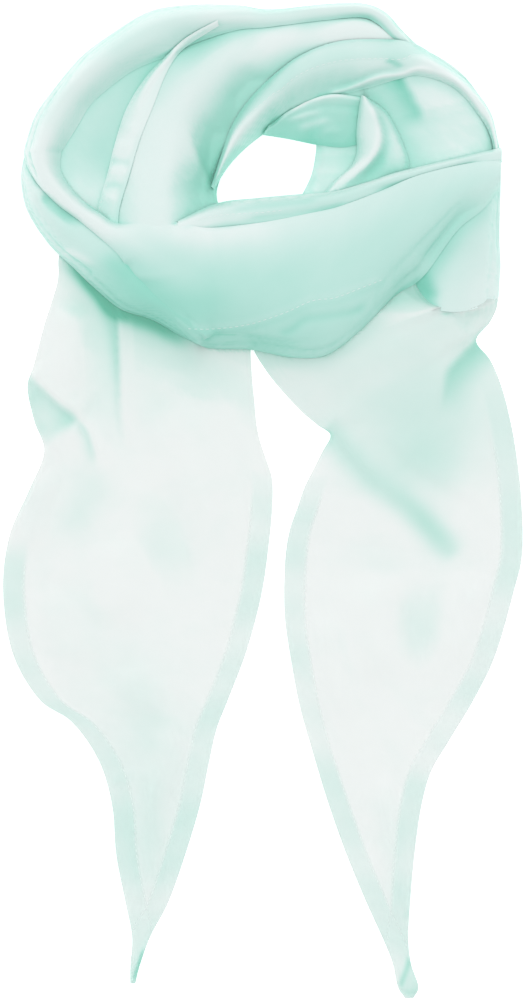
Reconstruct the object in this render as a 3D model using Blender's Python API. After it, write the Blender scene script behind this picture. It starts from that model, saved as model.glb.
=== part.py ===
"""A chiffon scarf, wound twice into a ring with two pointed ends, and laid flat on a table.

The scarf is one long strip of cloth with pointed ends. Here each stretch of it that shows is a
wall of its own: a row of cross-sections swept into a surface, laid on the stretches below it.
X is to the right across the scarf, +Y runs from the pointed ends to the ring, and Z is up from
the table. The tables are in millimetres, and the meshes in metres.
"""

import math
from collections import namedtuple

import bpy
import numpy as np
from mathutils import Vector
from mathutils.bvhtree import BVHTree

MM = 0.001
WALL = 1.2  # thickness of a stretch of cloth
SEAM = 0.4  # clear gap between stretches that touch
STEEPEST = 1.4  # a sloping wall's thickness, measured upright, is at most this many times WALL
MIDDLE_X, MIDDLE_Y = 0.65, -0.3  # middle of the whole scarf's outline in the tables
RING_X, RING_Y = 5.0, 200.0  # middle of the neck hole

FOLD_END = 0.12  # a fold keeps the height that it has this far in, out to its ends
FOLD_SWELL = 0.7  # below 1, a fold is near its full height over most of its length
PLEAT_EDGE = 2.5  # width of a pleat's crisp edge
PLEAT_SWELL = 0.6
PLEAT_LEAD = 0.25  # a pleat fades out over this share of its length before its start
EDGE_CALM = 6.0  # folds die away over this distance to the stretch's edges
NARROW = 7.0  # a roll with half of its width under this has no upright sides
LENGTH_SAMPLES = 40  # points between two cross-sections when a stretch's length is measured
TIGHTEST = 0.3  # a crest's sharpest bend, as a share of the one at which the wall would cross itself

HALF_WIDTH = 180.0  # the height map of the heap covers this far to each side of the middle
HALF_LENGTH = 320.0
HEAP_CELL = 2.0  # size of a square of the height map
HEAP_SAMPLES = 8  # points read along each side of a face to find its squares
HEAP_REACH = 2  # squares round a point whose heights hold it up
EASINGS = 3  # times that a stretch's heights are smoothed along it
SETTLE_SAMPLES = 2  # points read along each side of a face to find how far a stretch can sink
SETTLINGS = 2

CLOTH_LIGHT = (0.78, 0.93, 0.89)  # one or two layers of the cloth over a pale ground
CLOTH_DEEP = (0.55, 0.84, 0.75)  # many layers on each other, in their own shade
CLOTH_ROUGHNESS = 0.75
SHARP_EDGE = math.radians(50)  # edges sharper than this aren't shaded round

# How the cloth comes down to an edge: the power of the rounded rise from it to the crest.
ROLLED = 0.5  # upright at the edge, like the side of a roll
BENT = 1.0
FLAT = 2.0

# One cross-section of a stretch, seen from above: from its left edge over its crest to its right
# edge, with the crest's height above the table. 0 is a stretch that only lies on what is below.
Section = namedtuple("Section", "left_x left_y crest_x crest_y right_x right_y crest_z")

# A fold of the cloth: a soft ridge (or a trough, with a height below 0) from start to end, bowed
# sideways in the middle, with its width across and its height.
Fold = namedtuple("Fold", "start_x start_y end_x end_y bow width height")

# A pleat: the cloth stands this much higher on the left of the line from start to end, and comes
# back down over its run. It opens out towards its end.
Pleat = namedtuple("Pleat", "start_x start_y end_x end_y bow height run")

# A spoke of the hidden layers' ring, seen from the middle of the neck hole: the radii of the
# hole, the crest and the rim, two heights, and the power of the rise from the hole to the crest.
Spoke = namedtuple("Spoke", "hole_r crest_r rim_r hole_z crest_z rise")

Stretch = namedtuple("Stretch", "name sections left right pitch across folds pleats beside")


LEFT_END = [
    Section(-116, 156, -60, 126, -6, 98, 0),
    Section(-122, 147, -64, 116, -6.5, 89, 0),
    Section(-123, 131, -65, 100, -5.5, 72, 0),
    Section(-131, 105, -68, 80, -4, 57, 0),
    Section(-137, 82, -70, 64, -3, 46, 0),
    Section(-141, 68, -71, 52, -1, 36, 0),
    Section(-137, 48, -67, 36, 3, 24, 0),
    Section(-131, 29, -62, 20, 6.5, 12, 0),
    Section(-140, 6, -67, 1, 6.5, -4, 0),
    Section(-152, -22, -74, -24, 4.5, -26, 0),
    Section(-155.7, -55, -78, -56, 0, -57, 0),
    Section(-150, -92, -80, -92, -9, -91, 0),
    Section(-134, -120, -77, -120, -20, -120, 0),
    Section(-114, -134, -70, -136, -27, -138, 0),
    Section(-98, -157, -65, -158, -32, -160, 0),
    Section(-90, -184, -64, -184, -37, -184, 0),
    Section(-87.5, -214, -67, -214, -46, -214, 0),
    Section(-82, -242, -69, -242, -56, -242, 0),
    Section(-78, -263, -72, -263, -67, -263, 0),
    Section(-79, -281, -76, -281, -73.5, -281, 0),
    Section(-79, -291, -77.5, -291, -76, -291, 0),
]

LEFT_END_FOLDS = [
    Fold(-104, 92, -108, 20, 5, 12, 7),
    Fold(-137, 70, -112, 47, -2, 7, 5),
    Fold(-40, 60, -30, -60, 6, 18, 6),
    Fold(-90, 15, -120, -30, 4, 13, -2.5),
    Fold(-60, -30, -50, -120, -5, 16, 5),
    Fold(-110, -20, -118, -100, 6, 18, 5),
    Fold(-66, -150, -66, -255, 2, 8, 4),
]

LEFT_END_PLEATS = [
    Pleat(-87, 112, -81, 28, 2, 5, 26),
]

RIGHT_END = [
    Section(92, 104, 110, 102, 127, 99, 0),
    Section(74, 83, 105, 84, 135, 88, 0),
    Section(58, 62, 103, 66, 146, 66, 0),
    Section(47, 43, 100, 44, 152, 38, 0),
    Section(36, 29, 95, 22, 156, 10, 0),
    Section(28, 12, 92, 2, 157, -10, 0),
    Section(20, -10, 88, -22, 156, -36, 0),
    Section(14, -40, 82, -52, 151, -65, 0),
    Section(14, -70, 77, -82, 141, -93, 0),
    Section(18, -98, 74, -109, 128, -120, 0),
    Section(23, -124, 70, -134, 113, -145, 0),
    Section(30, -149, 66, -157, 102, -164, 0),
    Section(40, -182, 68, -184, 96, -186, 0),
    Section(51, -213, 72, -214, 92, -215, 0),
    Section(63, -242, 77, -242, 89.5, -243, 0),
    Section(73, -264, 81, -264, 88.5, -264, 0),
    Section(79, -279, 84, -279, 90, -279, 0),
    Section(82, -293, 88, -293, 94.5, -293, 0),
    Section(86.5, -300, 89, -300, 91.5, -300, 0),
]

RIGHT_END_FOLDS = [
    Fold(118, 84, 124, 40, 3, 8, -1),
    Fold(62, -30, 72, -120, 6, 20, 5),
    Fold(128, -10, 108, -120, -8, 16, 5),
    Fold(70, -160, 84, -262, 3, 9, 4),
]

RIGHT_STRAND = [
    Section(126, 193, 137, 199, 144, 203, 26),
    Section(117, 180, 133, 186, 144, 188, 26),
    Section(107, 167, 129, 172, 143.5, 173, 24),
    Section(99, 156, 125, 158, 143.3, 157, 22),
    Section(91, 147, 119, 146, 144, 142, 20),
    Section(82, 138, 113, 134, 143.5, 129, 17),
    Section(75, 128, 108, 124, 139, 121, 13),
    Section(75, 117, 103, 114, 130, 111, 10),
]

RIGHT_END_TURNED = [
    Section(-4, 90, -2, 95, 0, 101, 5),
    Section(1, 80.5, 15, 91, 30, 98, 10),
    Section(8, 70.5, 36, 93, 66, 112, 14),
    Section(16, 61.5, 58, 94, 106, 121, 17),
    Section(25, 53, 80, 90, 140, 119, 17),
    Section(34, 45, 79, 75, 129.5, 97, 15),
    Section(42, 39, 78, 61, 112.5, 77, 14),
    Section(53, 24.5, 82, 45, 110, 62, 13),
    Section(64.5, 9.5, 88, 29, 111, 46, 11),
    Section(78, -1, 96, 15, 113, 30, 9),
    Section(92.7, -8, 104.5, 2.5, 116, 12, 7),
    Section(104, -18, 111.5, -10, 118.5, -3, 5.5),
    Section(113, -29, 117, -22.5, 121, -17, 4.5),
    Section(119.7, -37.8, 121.5, -33, 123.5, -28, 3.6),
]

RIGHT_END_TURNED_FOLDS = [
    Fold(35, 64, 92, 14, -4, 8, 3),
    Fold(62, 62, 118, 4, 5, 9, -2.5),
    Fold(108, 112, 96, 60, -6, 12, -2),
]

UNDER_TURN = [
    Section(-142.5, 213, -138, 212, -131, 211, 20),
    Section(-145, 195, -137, 195, -124, 194, 23),
    Section(-141, 173, -130, 177, -112, 179, 25),
    Section(-128, 154, -116, 161, -97, 166, 25),
    Section(-113, 139.5, -100, 147, -82, 154, 25),
    Section(-101, 128, -87, 135, -73, 142, 26),
    Section(-85, 115, -74, 122, -60, 132, 27),
    Section(-66, 108.5, -57, 114, -44, 124, 27),
    Section(-50, 99.5, -41, 104, -29, 111, 25),
    Section(-38, 93, -31, 96, -21, 101, 21),
]

UNDER_TURN_FOLDS = [
    Fold(-133, 192, -112, 168, 2, 6, -4),
    Fold(-126, 164, -92, 134, 0, 6, 2),
]

OUTER_TURN = [
    Section(94.5, 273, 91, 271.5, 87, 271, 17),
    Section(85, 282, 82, 279, 79, 277, 22),
    Section(75, 293.5, 73, 290, 69, 286.5, 24),
    Section(61, 299, 60.5, 295, 59, 291, 25),
    Section(38, 298.6, 37.5, 295, 36, 289.5, 26),
    Section(5, 295.5, 4.5, 292, 4, 285.3, 28),
    Section(-14, 298, -14.5, 292, -16, 283, 30),
    Section(-43, 298.3, -42, 290, -40, 275.5, 33),
    Section(-68, 294, -63, 284, -57, 266, 35),
    Section(-92, 279.5, -84, 271, -75, 258.5, 36),
    Section(-110, 265.5, -99, 258, -87, 250.5, 37),
    Section(-127, 245, -114, 241, -102, 237.5, 37),
    Section(-137, 230, -125, 226.5, -111, 223, 36),
    Section(-143.5, 209.4, -133, 209.3, -120, 209, 35),
]

EDGE_STRIP = [
    Section(-26, 287.5, -26, 286, -25.5, 284, 0),
    Section(-45, 277, -43.5, 275.5, -42, 274, 0),
    Section(-58, 265.5, -54.5, 265.8, -51, 266, 0),
    Section(-70, 253, -64, 253.5, -58, 254, 0),
    Section(-81, 235, -73, 235.5, -65, 236, 0),
    Section(-88, 214, -80, 215, -73, 216, 0),
    Section(-93, 194, -86, 194, -79.5, 194, 0),
    Section(-98, 177, -91, 176, -85, 175, 0),
    Section(-99.5, 167, -92.5, 165, -86, 162, 0),
]

SIDE_PANEL = [
    Section(-56, 273, -52, 268, -47, 263, 0),
    Section(-80, 264, -72, 256, -60, 245, 0),
    Section(-103, 247, -91, 238, -70, 222, 0),
    Section(-121, 226, -106, 215, -78, 197, 0),
    Section(-128, 208, -110, 199, -82, 184, 0),
    Section(-127, 194, -108, 187, -84, 173, 0),
    Section(-119, 182, -104, 176, -85, 163, 0),
]

INNER_TURN = [
    Section(82, 283, 76, 278, 69, 269, 16),
    Section(62, 296, 58, 283, 52, 266, 18),
    Section(36, 295, 33, 279, 30, 259, 19),
    Section(4, 291, 4, 273, 6, 246, 20),
    Section(-20, 286, -15, 268, -5, 237, 21),
    Section(-40, 276, -34, 255, -14, 223, 22),
    Section(-56, 260, -48, 239, -20, 209, 23),
    Section(-66, 238, -54, 221, -24, 196, 23),
    Section(-73, 213, -58, 201, -27, 185, 22),
    Section(-78, 192, -61, 183, -25, 174, 22),
    Section(-84, 160, -62, 154, -20, 152, 22),
]

INNER_TURN_FOLDS = [
    Fold(-3, 262, -14, 232, 3, 9, -3),
]

CROSSING_TURN = [
    Section(144.8, 203, 142.5, 203.5, 139.5, 204, 27),
    Section(142, 217, 139.5, 216.5, 136, 216, 28),
    Section(137.5, 234, 134, 231.5, 129, 228.5, 29),
    Section(124, 251, 119, 247, 113, 243.5, 29),
    Section(105, 266.5, 101, 260, 95, 253, 28),
    Section(92.5, 274, 88, 263, 82, 252, 27),
    Section(72, 276.5, 68, 264, 63, 247, 26),
    Section(46, 275, 43, 261, 40, 241.5, 26),
    Section(24, 267, 22, 253, 22, 236, 26),
    Section(6, 254, 9, 243, 12, 229, 25),
    Section(-8, 240, -4, 230, 0, 219.5, 23),
    Section(-18, 225, -15, 218, -11, 210.5, 20),
    Section(-24.5, 207, -22, 203, -19.5, 199, 17),
    Section(-31, 190, -28.5, 188.5, -26, 187, 15),
]

CROSSING_TURN_FOLDS = [
    Fold(62, 254, 20, 241, -4, 6, -3),
    Fold(84, 262, 76, 262, 0, 3, -4),
]

NECK_BASE = [
    Section(33, 221, 46, 222, 62, 224, 0),
    Section(32.7, 210, 46, 210, 61, 211, 0),
    Section(30, 196, 44, 195.5, 58, 196, 0),
    Section(24, 183, 37, 181.5, 49, 181, 0),
]

INNER_RIGHT = [
    Section(62, 254, 90, 262, 112, 257, 0),
    Section(62, 240, 98, 247, 130, 242, 0),
    Section(64, 226, 101, 228, 139, 223, 0),
    Section(67, 210, 103, 210, 142, 206, 0),
    Section(58, 194, 96, 196, 134, 195, 0),
    Section(52, 185, 88, 188, 124, 189, 0),
]

INNER_RIGHT_FOLDS = [
    Fold(84, 254, 92, 230, 1, 6, -4),
    Fold(74, 250, 80, 222, 3, 7, 3),
    Fold(104, 236, 126, 214, 0, 14, -3),
]

NECK_FOLD = [
    Section(4, 224.5, 2.5, 222, 1, 219.8, 0),
    Section(18, 234.5, 16, 227, 15, 217.6, 0),
    Section(36, 242.7, 35, 229, 35, 213.6, 0),
    Section(50, 243.5, 50, 229, 50, 212.3, 0),
    Section(65, 241, 64, 228, 63, 215.5, 0),
]

NECK_FOLD_FOLDS = [
    Fold(22, 232, 60, 238, 2, 3, 2),
    Fold(24, 224, 44, 229, 1, 3, 1.5),
]

NECK_LEAF = [
    Section(59.8, 243, 61.5, 242.3, 63.5, 241.5, 22),
    Section(58, 232, 65, 232.5, 74.5, 234, 24),
    Section(57, 221, 67.5, 221, 81.5, 222.5, 24),
    Section(57, 209, 67, 210, 86, 212, 24),
    Section(53, 200, 59, 202, 89, 202, 23),
    Section(44, 192, 50, 194, 87, 194, 23),
    Section(34, 181, 39, 182, 76, 182, 22),
]

NECK_LEAF_FOLDS = [
    Fold(68, 234, 60, 194, 9, 3.5, -5),
]

ROLLED_EDGE = [
    Section(143.5, 210.5, 143.5, 208, 143, 204, 26),
    Section(115, 205, 115, 201, 115, 195, 27),
    Section(82, 197, 82, 192, 81, 185, 28),
    Section(64, 191, 63, 185, 63, 177, 30),
    Section(43, 185, 43, 179, 43, 170, 31),
    Section(24, 184.2, 24, 177, 24, 165.5, 31),
    Section(-3, 181.8, -3, 174, -3, 162, 31),
    Section(-27, 178.5, -27, 172, -27, 162, 30),
    Section(-50, 164, -50, 162.5, -50, 160, 0),
]

ROLLED_EDGE_FOLDS = [
    Fold(-24, 172, 60, 185, 2, 2.5, -3),
    Fold(60, 185, 136, 206, 0, 2, -2),
]

FRONT_BAND = [
    Section(-143.2, 208.3, -132.9, 208.2, -120.5, 207.9, 35),
    Section(-139.5, 197, -130, 197, -120, 198, 36),
    Section(-129, 183.5, -121, 183, -111.5, 184, 37),
    Section(-112, 170, -106, 171.5, -99, 173, 37),
    Section(-93, 153.5, -87, 160, -82, 165.5, 38),
    Section(-78, 136, -69, 150, -61, 162, 38),
    Section(-60, 116, -50, 140, -41, 161.5, 38),
    Section(-37, 92.5, -30, 131, -24, 163.5, 39),
    Section(-7, 90.5, -2, 129, 3, 166.5, 40),
    Section(20, 85.5, 22, 131, 26, 171, 40),
    Section(40, 87.5, 41, 136, 46, 175.5, 39),
    Section(60, 102.5, 62, 147, 69, 184, 38),
    Section(80, 122.5, 82, 160, 90, 193, 35),
    Section(97, 134, 101, 172, 109, 198.5, 32),
    Section(117, 161, 121, 186, 128, 202.3, 32.5),
    Section(138, 180.5, 140, 194, 143, 203.5, 33),
]

FRONT_BAND_FOLDS = [
    Fold(-45, 103, 70, 128, -10, 3, -1.5),
    Fold(8, 100, 66, 116, -4, 4, -2),
    Fold(-100, 168, 20, 164, -10, 8, 2),
    Fold(84, 150, 128, 190, 0, 9, -2),
]

HIDDEN_LAYERS = [  # evenly spaced, anticlockwise from +X
    Spoke(31, 112, 128, 4, 17, 2.0),
    Spoke(35, 108, 120, 4, 17, 2.0),
    Spoke(34, 90, 104, 4, 17, 0.8),
    Spoke(29, 78, 95, 4, 17, 0.5),
    Spoke(28, 70, 85, 4, 16, 0.5),
    Spoke(25, 78, 94, 4, 16, 1.0),
    Spoke(27, 92, 110, 4, 18, 1.5),
    Spoke(31, 108, 124, 4, 19, 1.2),
    Spoke(35, 118, 136, 4, 19, 1.0),
    Spoke(42, 106, 122, 4, 20, 0.7),
    Spoke(39, 88, 104, 4, 23, 0.5),
    Spoke(27, 70, 97, 4, 26, 0.5),
    Spoke(24, 62, 94, 4, 27, 0.5),
    Spoke(25, 66, 95, 4, 26, 0.5),
    Spoke(28, 74, 95, 4, 22, 0.5),
    Spoke(31, 100, 132, 4, 18, 0.9),
]
SPOKES = 48  # spokes of the finished ring
SLOPE_PLACES = (0.08, 0.2, 0.4, 0.7, 1.0)  # points on the slope from the hole up to the crest
LAYER_STEP = 1.2  # how far every other hidden layer stands out at the ring's sides
RIM_LAYERS = 4  # layers to see at the sides

STRETCHES = [
    Stretch("neck_base", NECK_BASE, BENT, BENT, 9, 4, [], [], ()),
    Stretch("inner_right", INNER_RIGHT, FLAT, FLAT, 9, 9, INNER_RIGHT_FOLDS, [], ()),
    Stretch("side_panel", SIDE_PANEL, FLAT, FLAT, 10, 5, [], [], ()),
    Stretch("inner_turn", INNER_TURN, BENT, FLAT, 9, 7, INNER_TURN_FOLDS, [], ()),
    Stretch("left_end", LEFT_END, FLAT, FLAT, 10, 12, LEFT_END_FOLDS, LEFT_END_PLEATS, ()),
    Stretch("right_end", RIGHT_END, FLAT, FLAT, 10, 12, RIGHT_END_FOLDS, [], ()),
    Stretch("right_strand", RIGHT_STRAND, BENT, ROLLED, 8, 7, [], [], ()),
    Stretch("right_end_turned", RIGHT_END_TURNED, ROLLED, BENT, 9, 9, RIGHT_END_TURNED_FOLDS, [], ()),
    Stretch("under_turn", UNDER_TURN, ROLLED, BENT, 8, 7, UNDER_TURN_FOLDS, [], ()),
    Stretch("outer_turn", OUTER_TURN, ROLLED, ROLLED, 8, 8, [], [], ()),
    Stretch("edge_strip", EDGE_STRIP, FLAT, FLAT, 8, 3, [], [], ()),
    Stretch("crossing_turn", CROSSING_TURN, ROLLED, BENT, 8, 7, CROSSING_TURN_FOLDS, [], ()),
    Stretch("neck_fold", NECK_FOLD, BENT, BENT, 7, 5, NECK_FOLD_FOLDS, [], ()),
    Stretch("neck_leaf", NECK_LEAF, ROLLED, BENT, 6, 8, NECK_LEAF_FOLDS, [], ()),
    Stretch("rolled_edge", ROLLED_EDGE, ROLLED, BENT, 8, 5, ROLLED_EDGE_FOLDS, [], ()),
    Stretch("front_band", FRONT_BAND, ROLLED, ROLLED, 9, 11, FRONT_BAND_FOLDS, [], ("outer_turn",)),
]

DEEP_NODES = {"hidden_layers", "neck_base", "neck_fold", "side_panel"}


def smooth_through(rows, places):
    """Values read at places (in rows) from smooth curves through all the columns of rows."""
    rows = np.asarray(rows, float)
    padded = np.vstack([2 * rows[0] - rows[1], rows, 2 * rows[-1] - rows[-2]])
    first = np.clip(np.floor(places).astype(int), 0, len(rows) - 2)
    t = (places - first)[:, None]
    before, start, end, after = (padded[first + k] for k in range(4))
    return 0.5 * (
        2 * start
        + (end - before) * t
        + (2 * before - 5 * start + 4 * end - after) * t**2
        + (3 * start - before - 3 * end + after) * t**3
    )


def even_places(sections, pitch):
    """Places along the sections, in rows, about pitch apart along the crest."""
    fine = np.linspace(0, len(sections) - 1, LENGTH_SAMPLES * len(sections))
    crest = smooth_through(sections, fine)[:, 2:4]
    steps = np.hypot(*np.diff(crest, axis=0).T)
    along = np.concatenate([[0], np.cumsum(steps)])
    count = max(2, round(along[-1] / pitch))
    return np.interp(np.linspace(0, along[-1], count + 1), along, fine)


def rounded_rise(share, power):
    """From 0 at an edge to 1 at the crest."""
    return (1 - (1 - np.clip(share, 0, 1)) ** 2) ** power


def line_distance(x, y, line):
    """How far along a bowed line each point lies, from 0 to 1, and how far off it to the left."""
    run_x, run_y = line.end_x - line.start_x, line.end_y - line.start_y
    length = math.hypot(run_x, run_y)
    along = ((x - line.start_x) * run_x + (y - line.start_y) * run_y) / length**2
    off = ((y - line.start_y) * run_x - (x - line.start_x) * run_y) / length
    return along, off - line.bow * np.sin(math.pi * np.clip(along, 0, 1))


def fold_height(x, y, fold):
    along, off = line_distance(x, y, fold)
    reach = np.clip(along, 0, 1)
    length = math.hypot(fold.end_x - fold.start_x, fold.end_y - fold.start_y)
    beyond = (along - reach) * length
    tapered = np.sin(math.pi * np.clip(reach, FOLD_END, 1 - FOLD_END)) ** FOLD_SWELL
    return fold.height * tapered * np.exp(-(off**2 + beyond**2) / fold.width**2)


def pleat_height(x, y, pleat):
    along, off = line_distance(x, y, pleat)
    opened = np.clip(1 - along, 0, 1) * np.clip(1 + along / PLEAT_LEAD, 0, 1)
    side = np.clip(off / PLEAT_EDGE + 0.5, 0, 1) * np.exp(-np.maximum(off, 0) / pleat.run)
    return pleat.height * opened**PLEAT_SWELL * side


def spread_over(points, samples):
    """Points spread over a surface given as a grid of points, samples along each side of a face."""
    shares = np.linspace(0, 1, samples + 1)
    return np.concatenate([
        (
            (1 - a) * (1 - b) * points[:-1, :-1]
            + a * (1 - b) * points[1:, :-1]
            + (1 - a) * b * points[:-1, 1:]
            + a * b * points[1:, 1:]
        ).reshape(-1, 3)
        for a in shares
        for b in shares
    ])


def tree_of(points):
    """A search tree of the surface given as a grid of points."""
    rows, columns = points.shape[:2]
    faces = [
        (i * columns + j, (i + 1) * columns + j, (i + 1) * columns + j + 1, i * columns + j + 1)
        for i in range(rows - 1)
        for j in range(columns - 1)
    ]
    return BVHTree.FromPolygons(points.reshape(-1, 3).tolist(), faces)


class Heap:
    """The surfaces laid so far, with a height map of each, seen from above."""

    def __init__(self):
        self.columns = int(2 * HALF_WIDTH / HEAP_CELL)
        self.rows = int(2 * HALF_LENGTH / HEAP_CELL)
        self.maps = {}
        self.surfaces = {}

    def square(self, x, y):
        column = np.clip(((x + HALF_WIDTH) / HEAP_CELL).astype(int), 0, self.columns - 1)
        row = np.clip(((y + HALF_LENGTH) / HEAP_CELL).astype(int), 0, self.rows - 1)
        return column, row

    def lay(self, name, points):
        """Adds a surface, given as a grid of points."""
        heights = np.zeros((self.columns, self.rows))
        p = spread_over(points, HEAP_SAMPLES)
        np.maximum.at(heights, self.square(p[:, 0], p[:, 1]), p[:, 2])
        self.maps[name] = heights
        self.surfaces[name] = points

    def top(self, beside):
        """The heap's height under each square, and the squares round it, without those beside."""
        joined = np.max([m for name, m in self.maps.items() if name not in beside], axis=0)
        widened = joined.copy()
        for i in range(-HEAP_REACH, HEAP_REACH + 1):
            for j in range(-HEAP_REACH, HEAP_REACH + 1):
                if i * i + j * j <= HEAP_REACH**2 + 1:
                    widened = np.maximum(widened, np.roll(joined, (i, j), (0, 1)))
        return widened


Plan = namedtuple("Plan", "x y over middle crest_z to_left to_right")


def plan_of(stretch):
    """The stretch's grid seen from above, with each row's crest height and half widths.

    Over runs from 0 at the left edge to 1 at the right one, and is middle at the crest.
    """
    rows = smooth_through(stretch.sections, even_places(stretch.sections, stretch.pitch))
    left, crest, right, crest_z = rows[:, 0:2], rows[:, 2:4], rows[:, 4:6], rows[:, 6]
    to_left = np.hypot(*(crest - left).T)[:, None]
    to_right = np.hypot(*(right - crest).T)[:, None]
    middle = to_left / (to_left + to_right)
    w = (1 - np.cos(np.linspace(0, math.pi, stretch.across + 1)))[None, :] / 2
    weights = (
        (w - middle) * (w - 1) / middle,
        w * (w - 1) / (middle * (middle - 1)),
        w * (w - middle) / (1 - middle),
    )
    xy = sum(k[:, :, None] * side[:, None, :] for k, side in zip(weights, (left, crest, right)))
    return Plan(xy[:, :, 0], xy[:, :, 1], w, middle, crest_z[:, None], to_left, to_right)


def rolled_rim(top):
    """The height of a rolled side's rim: down on the table, or on the heap whose height is top."""
    held = np.where(top > 0, top + SEAM + WALL, 0)
    return np.max([held, np.roll(held, 1), np.roll(held, -1)], axis=0)


def lowest_rim(crest_z, half_width, power):
    """The height that an edge needs for the wall to bend over the crest without crossing itself."""
    return crest_z - TIGHTEST * half_width**2 / (power * WALL)


def lay_stretch(stretch, heap):
    """The stretch's outer surface, a grid of points, and which of them are on a rolled side."""
    plan = plan_of(stretch)
    x, y, w, middle, crest_z = plan.x, plan.y, plan.over, plan.middle, plan.crest_z
    top = heap.top(stretch.beside)[heap.square(x, y)]
    lowest = np.where(top > 0, top + SEAM + STEEPEST * WALL, WALL)
    left_rolled = (stretch.left == ROLLED) & (plan.to_left > NARROW)
    right_rolled = (stretch.right == ROLLED) & (plan.to_right > NARROW)
    lowest[:, :1] = np.where(left_rolled, rolled_rim(top[:, :1]), lowest[:, :1])
    lowest[:, -1:] = np.where(right_rolled, rolled_rim(top[:, -1:]), lowest[:, -1:])
    left_rim = lowest_rim(crest_z, plan.to_left, stretch.left)
    right_rim = lowest_rim(crest_z, plan.to_right, stretch.right)
    lowest[:, :1] = np.maximum(lowest[:, :1], left_rim)
    lowest[:, -1:] = np.maximum(lowest[:, -1:], right_rim)
    left_z, right_z = lowest[:, :1], lowest[:, -1:]
    from_left = left_z + (crest_z - left_z) * rounded_rise(w / middle, stretch.left)
    from_right = right_z + (crest_z - right_z) * rounded_rise((1 - w) / (1 - middle), stretch.right)
    arch = np.where(w < middle, from_left, from_right)
    plain = left_z + (right_z - left_z) * w
    z = np.maximum(np.where(crest_z > WALL, arch, plain), lowest)
    inside = np.clip(np.minimum(w, 1 - w) * (plan.to_left + plan.to_right) / EDGE_CALM, 0, 1)
    for fold in stretch.folds:
        z = z + inside * fold_height(x, y, fold)
    for pleat in stretch.pleats:
        z = z + pleat_height(x, y, pleat)
    z = np.maximum(z, lowest)
    for _ in range(EASINGS):
        eased = z.copy()
        eased[1:-1] = (z[:-2] + 2 * z[1:-1] + z[2:]) / 4
        z = np.maximum(eased, lowest)
    outer = np.stack([x, y, z], axis=2)
    rolled = np.where(w < middle, left_rolled, right_rolled)
    if normals_of(outer)[:, :, 2].mean() < 0:
        return outer[:, ::-1], rolled[:, ::-1]
    return outer, rolled


def normals_of(points):
    """Unit normals of a grid of points."""
    normals = np.cross(np.gradient(points, axis=0), np.gradient(points, axis=1))
    return normals / (np.linalg.norm(normals, axis=2, keepdims=True) + 1e-12)


def inner_of(outer, rolled):
    """The wall's inner surface, never below the table.

    On a rolled side it lies WALL inside the outer one, square to it across the stretch. On other
    sides it lies straight below.
    """
    normals = normals_of(outer)
    across = outer[:, -1:, :2] - outer[:, :1, :2]
    across /= np.linalg.norm(across, axis=2, keepdims=True)
    sideways = (normals[:, :, :2] * across).sum(2)
    upright = normals[:, :, 2]
    length = np.hypot(sideways, upright)
    inner = outer.copy()
    inner[:, :, :2] -= (rolled * WALL * sideways / length)[:, :, None] * across
    below = WALL / np.maximum(upright, 1 / STEEPEST)
    inner[:, :, 2] -= np.where(rolled, WALL * upright / length, below)
    inner[:, :, 2] = np.maximum(inner[:, :, 2], 0)
    return inner


def smallest_sink(samples, tree, way):
    """The least share of its height that a surface can sink before it meets what lies below.

    The samples look up or down (way) along Z for the surface in the tree.
    """
    least = 1.0
    for point in samples:
        found, _, _, distance = tree.ray_cast(Vector(point), Vector((0, 0, way)))
        if found:
            height = max(found.z if way > 0 else point[2], WALL)
            least = min(least, (distance - SEAM) / height)
    return least


def settle(outer, rolled, heap, beside):
    """Sinks a stretch, in proportion to its height, until it rests a seam's gap off the heap."""
    for _ in range(SETTLINGS):
        inner = inner_of(outer, rolled)
        tree, samples = tree_of(inner), spread_over(inner, SETTLE_SAMPLES)
        (left, near), (right, far) = inner[:, :, :2].min((0, 1)), inner[:, :, :2].max((0, 1))
        sink = 1.0
        for name, surface in heap.surfaces.items():
            if name in beside:
                continue
            under = spread_over(surface, SETTLE_SAMPLES)
            x, y = under[:, 0], under[:, 1]
            under = under[(x > left) & (x < right) & (y > near) & (y < far)]
            sink = min(sink, smallest_sink(samples, tree_of(surface), -1))
            sink = min(sink, smallest_sink(under, tree, 1))
        if sink < 1:
            above = np.maximum(outer[:, :, 2] - WALL, 0)
            outer[:, :, 2] -= max(sink, 0) * above


def wall_mesh(name, outer, inner):
    """A closed wall between two grids of points."""
    rows, columns = outer.shape[:2]
    count = rows * columns

    def corner(i, j, below):
        return below * count + i * columns + j

    faces = []
    for i in range(rows - 1):
        for j in range(columns - 1):
            ring = ((i, j), (i + 1, j), (i + 1, j + 1), (i, j + 1))
            faces.append([corner(a, b, 0) for a, b in ring])
            faces.append([corner(a, b, 1) for a, b in reversed(ring)])
    rim = [(i, 0) for i in range(rows)] + [(rows - 1, j) for j in range(1, columns)]
    rim += [(i, columns - 1) for i in range(rows - 2, -1, -1)]
    rim += [(0, j) for j in range(columns - 2, 0, -1)]
    for a, b in zip(rim, rim[1:] + rim[:1]):
        faces.append([corner(*b, 0), corner(*a, 0), corner(*a, 1), corner(*b, 1)])
    return make_object(name, np.vstack([outer.reshape(-1, 3), inner.reshape(-1, 3)]), faces)


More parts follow.
